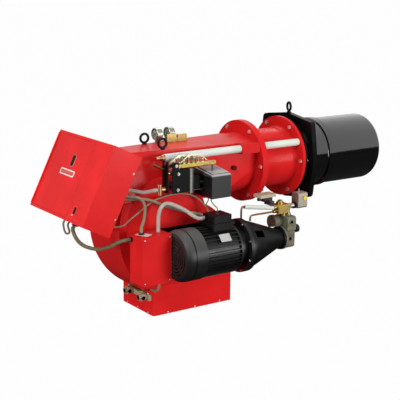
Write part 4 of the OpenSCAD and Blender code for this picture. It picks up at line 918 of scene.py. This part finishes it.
def figure(text, plane, x, y):
    """One figure of a dial as a thin mesh."""
    curve = bpy.data.curves.new("figure", "FONT")
    curve.body = text
    curve.size = 0.0052
    curve.align_x = "CENTER"
    curve.align_y = "CENTER"
    curve.extrude = 0.0001
    curve.resolution_u = 3
    holder = bpy.data.objects.new("figure", curve)
    bpy.context.collection.objects.link(holder)
    bpy.context.view_layer.update()
    mesh = bpy.data.meshes.new_from_object(holder.evaluated_get(bpy.context.evaluated_depsgraph_get()))
    bpy.data.objects.remove(holder)
    mesh.materials.clear()
    mesh.materials.append(dial_black)
    mesh.transform(plane @ Matrix.Translation((x, y, 0.0006)))
    return mesh


def joined(name, meshes):
    """One mesh from several, with each one's finish kept."""
    whole = bmesh.new()
    result = bpy.data.meshes.new(name)
    finishes = []
    for mesh in meshes:
        start = len(whole.faces)
        whole.from_mesh(mesh)
        whole.faces.ensure_lookup_table()
        for face in whole.faces[start:]:
            finish = mesh.materials[face.material_index]
            if finish not in finishes:
                finishes.append(finish)
            face.material_index = finishes.index(finish)
    whole.to_mesh(result)
    whole.free()
    for finish in finishes:
        result.materials.append(finish)
    return result


def glass_finish():
    glass = Finish("clear_glass", (0.93, 0.97, 0.95), 0.04)
    glass.shader.inputs["Transmission Weight"].default_value = 1.0
    glass.shader.inputs["IOR"].default_value = 1.3
    smear = glass.noise(60.0, 3.0)
    glass.feed("Roughness", smear * 0.05 + 0.02)
    return glass.material


clear_glass = glass_finish()


# Conduits and leads

def smooth_route(points, steps):
    """The smooth line through a route's points that the solids follow."""
    line = []
    last = len(points) - 1
    for i in range(last):
        a = points[max(i - 1, 0)]
        b = points[i]
        c = points[i + 1]
        d = points[min(i + 2, last)]
        for k in range(steps):
            t = k / steps
            line.append(0.5 * (2 * b + (c - a) * t + (2 * a - 5 * b + 4 * c - d) * t * t
                               + (3 * b - a - 3 * c + d) * t * t * t))
    line.append(points[last])
    return line


def behind_panel(y, z, away):
    return panel_point(160 + 9 + away, y, z)


def below_panel(x, y, away):
    return panel_point(x, y, -204.5 - 9 - away)


END_GAP = 0.8
LEAD_IN = 20
BOX_GLAND_Z = -186


def route(*points):
    return smooth_route([mm(*p) if isinstance(p, tuple) else p for p in points], 8)


def conduits():
    """Ribbed sleeves on the routes of the conduits."""
    wide = [
        route((-1037, -267, -238 + END_GAP), (-1037, -267, -206), (-1034, -267, -150), (-1016, -268, -112),
              (-985, -270, -101), (-940, -278, -118), (-895, -292, -144), (-858, -312, -174),
              (-832, -322, BOX_GLAND_Z), (-805 - END_GAP, -322, BOX_GLAND_Z)),
        route(behind_panel(-200, 40, END_GAP), behind_panel(-200, 40, LEAD_IN), (-1130, -202, -36),
              (-1088, -208, -46), (-1050, -218, -43), (-1036, -226, -40), (-1016.8, -226, -40)),
    ]
    drooping = [
        route(below_panel(52, -114, END_GAP), below_panel(52, -114, LEAD_IN), (-1400, -114, -256),
              (-1361, -118, -294), (-1306, -142, -312), (-1262, -180, -298), (-1226, -214, -272),
              (-1165 - 9 - LEAD_IN, -228, -264), (-1165 - 9 - END_GAP, -228, -264)),
    ]
    narrow = [
        route(behind_panel(-240, 10, END_GAP), behind_panel(-240, 10, LEAD_IN), (-1142, -241, -58),
              (-1112, -244, -78), (-1101, -248, -114), (-1110, -256, -160), (-1130, -262, -206),
              (-1130, -262, -229 + END_GAP)),
        route(behind_panel(-205, -12, END_GAP), behind_panel(-205, -12, LEAD_IN), (-1150, -214, -72),
              (-1113, -222, -72), (-1060, -232, -84), (-1011, -240, -106), (-940, -244, -136),
              (-870, -248, -160), (-810, -254, -178), (-776, -262, BOX_GLAND_Z),
              (-770, -276, BOX_GLAND_Z), (-770, -287 + END_GAP, BOX_GLAND_Z)),
    ]
    meshes = [grown("wide", RIBBED, route_mesh(wide), {"Diameter": 0.020}, conduit_sleeve),
              grown("drooping", RIBBED, route_mesh(drooping), {"Diameter": 0.020}, olive_sleeve),
              grown("narrow", RIBBED, route_mesh(narrow), {"Diameter": 0.016}, tan_sleeve)]
    keep("ribbed_conduits", joined("ribbed_conduits", meshes), "burner", ["conduits"])


def leads():
    """Plain sleeved leads, with only a trace of the braid along them."""
    motor_lead = route(behind_panel(-215, -150, END_GAP), behind_panel(-215, -150, LEAD_IN),
                       (-1210, -222, -192), (-1158, -226, -158), (-1105, -226, -128), (-1057, -222, -102),
                       (-1007, -216, -86), (-941, -216, -76), (-883, -218, -74), (-825, -222, -86),
                       (-779, -230, -110), (-746, -244, -146), (-732, -262, -178), (-727, -274, BOX_GLAND_Z),
                       (-727, -296 + END_GAP, BOX_GLAND_Z))
    loop = route(panel_point(8, -86, -204.5 - END_GAP), panel_point(8, -86, -204.5 - 18),
                 (-1452, -87, -208), (-1442, -88, -226), (-1426, -89, -222),
                 panel_point(32, -90, -204.5 - 18), panel_point(32, -90, -204.5 - END_GAP))
    servo = [
        route((-736, -286, -103 - END_GAP), (-736, -286, -118), (-730, -300, -136), (-722, -318, -150),
              (-722, -318, -168 + END_GAP)),
        route((-744, -270, -103 - END_GAP), (-744, -270, -116), (-750, -264, -136), (-746, -264, -164),
              (-744, -276, BOX_GLAND_Z + 8), (-744, -296 + END_GAP, BOX_GLAND_Z + 8)),
    ]
    braid = {"Rib pitch": 0.003, "Rib depth": 0.0003, "Sides": 12}
    bonding = route((-999, -118, -599), (-999, -119, -588), (-1000, -135, -574), (-1005, -170, -566),
                    (-1012, -205, -560), (-1018, -235, -543), (-1020, -250, -515), (-1020, -252, -479))
    strand = grown("bonding", RIBBED, route_mesh([bonding]), {"Diameter": 0.013, **braid}, tan_sleeve)
    nuts = grown("bonding_nuts", HEXAGONS, points_mesh([(mm(-999, -118, -595.5), Vector((0.0, 0.0, 1.0))),
                                                        (mm(-1020, -252, -482.5), Vector((0.0, 0.0, -1.0)))]),
                 {"Across flats": 0.019, "Height": 0.006}, old_brass)
    keep("bonding_lead", joined("bonding_lead", [strand, nuts]), "burner")
    meshes = [
        grown("motor_lead", RIBBED, route_mesh([motor_lead]), {"Diameter": 0.008, **braid}, tan_sleeve),
        grown("loop", RIBBED, route_mesh([loop]), {"Diameter": 0.010, **braid}, olive_sleeve),
        grown("servo_leads", RIBBED, route_mesh(servo), {"Diameter": 0.006, **braid}, lead_brown),
    ]
    keep("sleeved_leads", joined("sleeved_leads", meshes), "burner", ["leads"])


door_pieces()
switch_pieces()
box_label()
motor_data_plate()
lid_emblem()
switch_dot()
panel_fixings()
lid_fixings()
duct_rivets()
cam_fixings()
pump_fixings()
port_pieces()
cowl_seams()
switch_ring()
gauge_faces()
conduits()
leads()


# Camera, floor and light

CAMERA_PLACE = Vector((-3.679, -4.383, 1.084))
CAMERA_YAW = math.radians(54.95)
CAMERA_PITCH = math.radians(13.35)
CAMERA_ROLL = math.radians(0.6)
CAMERA_LENS = 93.9
FLOOR_Z = -0.714


def make_camera():
    """The photograph's view."""
    ahead = Vector((math.cos(CAMERA_YAW) * math.cos(CAMERA_PITCH),
                    math.sin(CAMERA_YAW) * math.cos(CAMERA_PITCH), -math.sin(CAMERA_PITCH)))
    level_right = Vector((math.sin(CAMERA_YAW), -math.cos(CAMERA_YAW), 0.0))
    level_up = level_right.cross(ahead)
    right = level_right * math.cos(CAMERA_ROLL) + level_up * math.sin(CAMERA_ROLL)
    up = level_up * math.cos(CAMERA_ROLL) - level_right * math.sin(CAMERA_ROLL)
    data = bpy.data.cameras.new("photo_view")
    data.lens = CAMERA_LENS
    data.sensor_width = 36.0
    data.clip_end = 100.0
    camera = bpy.data.objects.new("photo_view", data)
    bpy.context.collection.objects.link(camera)
    camera.matrix_world = Matrix.Translation(CAMERA_PLACE) @ Matrix((right, up, -ahead)).transposed().to_4x4()
    bpy.context.scene.camera = camera


def make_floor():
    """A plain white floor that keeps the burner's soft shadow, and shows dark grey in gloss: a painted dark
    reflection.
    """
    half = 30.0
    mesh = bpy.data.meshes.new("floor")
    mesh.from_pydata([(-half, -half, FLOOR_Z), (half, -half, FLOOR_Z), (half, half, FLOOR_Z), (-half, half, FLOOR_Z)],
                     [], [(0, 1, 2, 3)])
    floor = bpy.data.objects.new("floor", mesh)
    bpy.context.collection.objects.link(floor)
    material = bpy.data.materials.new("white_floor")
    material.use_nodes = True
    tree = material.node_tree
    tree.nodes.clear()
    output = tree.nodes.new("ShaderNodeOutputMaterial")
    matte = tree.nodes.new("ShaderNodeBsdfDiffuse")
    matte.inputs["Color"].default_value = (0.20, 0.20, 0.20, 1.0)
    white = tree.nodes.new("ShaderNodeEmission")
    white.inputs["Color"].default_value = (1.0, 1.0, 1.0, 1.0)
    white.inputs["Strength"].default_value = 1.0
    path = tree.nodes.new("ShaderNodeLightPath")
    share = tree.nodes.new("ShaderNodeMath")
    share.operation = "MULTIPLY"
    share.inputs[1].default_value = 0.985
    blend = tree.nodes.new("ShaderNodeMixShader")
    tree.links.new(path.outputs["Is Camera Ray"], share.inputs[0])
    tree.links.new(share.outputs[0], blend.inputs[0])
    tree.links.new(matte.outputs[0], blend.inputs[1])
    tree.links.new(white.outputs[0], blend.inputs[2])
    # In gloss the floor turns dark grey: a painted dark reflection for the burner's undersides.
    dark = tree.nodes.new("ShaderNodeBsdfDiffuse")
    dark.inputs["Color"].default_value = (0.03, 0.03, 0.03, 1.0)
    painted_dark_reflection = tree.nodes.new("ShaderNodeMixShader")
    tree.links.new(path.outputs["Is Glossy Ray"], painted_dark_reflection.inputs[0])
    tree.links.new(blend.outputs[0], painted_dark_reflection.inputs[1])
    tree.links.new(dark.outputs[0], painted_dark_reflection.inputs[2])
    tree.links.new(painted_dark_reflection.outputs[0], output.inputs[0])
    mesh.materials.append(material)


def make_world():
    """Even room light; the camera, gloss and glass see plain white."""
    world = bpy.data.worlds.new("studio")
    bpy.context.scene.world = world
    world.use_nodes = True
    tree = world.node_tree
    tree.nodes.clear()
    output = tree.nodes.new("ShaderNodeOutputWorld")
    room = tree.nodes.new("ShaderNodeBackground")
    room.inputs["Color"].default_value = (1.0, 0.985, 0.965, 1.0)
    room.inputs["Strength"].default_value = 0.42
    seen = tree.nodes.new("ShaderNodeBackground")
    seen.inputs["Color"].default_value = (1.0, 1.0, 1.0, 1.0)
    path = tree.nodes.new("ShaderNodeLightPath")
    either = tree.nodes.new("ShaderNodeMath")
    either.operation = "MAXIMUM"
    any_seen = tree.nodes.new("ShaderNodeMath")
    any_seen.operation = "MAXIMUM"
    blend = tree.nodes.new("ShaderNodeMixShader")
    tree.links.new(path.outputs["Is Camera Ray"], either.inputs[0])
    tree.links.new(path.outputs["Is Transmission Ray"], either.inputs[1])
    glossy = tree.nodes.new("ShaderNodeMath")
    glossy.operation = "MULTIPLY"
    glossy.inputs[1].default_value = 0.65
    tree.links.new(path.outputs["Is Glossy Ray"], glossy.inputs[0])
    tree.links.new(either.outputs[0], any_seen.inputs[0])
    tree.links.new(glossy.outputs[0], any_seen.inputs[1])
    tree.links.new(any_seen.outputs[0], blend.inputs[0])
    tree.links.new(room.outputs[0], blend.inputs[1])
    tree.links.new(seen.outputs[0], blend.inputs[2])
    tree.links.new(blend.outputs[0], output.inputs[0])


def make_lamp(name, place, target, size, watts):
    data = bpy.data.lights.new(name, "AREA")
    data.shape = "DISK"
    data.size = size
    data.energy = watts
    lamp = bpy.data.objects.new(name, data)
    bpy.context.collection.objects.link(lamp)
    lamp.location = place
    lamp.rotation_euler = (Vector(target) - Vector(place)).to_track_quat("-Z", "Y").to_euler()


MIDDLE = (-0.5, 0.0, -0.2)
make_camera()
make_floor()
make_world()
make_lamp("key", (-3.5, -2.0, 3.2), MIDDLE, 2.4, 86.0)
make_lamp("fill", (0.9, -4.2, -0.1), MIDDLE, 2.2, 128.0)
make_lamp("side", (-4.9, -0.8, -0.2), MIDDLE, 1.6, 74.0)
make_lamp("rear_top", (1.0, 2.6, 3.4), MIDDLE, 2.4, 80.0)

bpy.context.scene.view_settings.view_transform = "Standard"
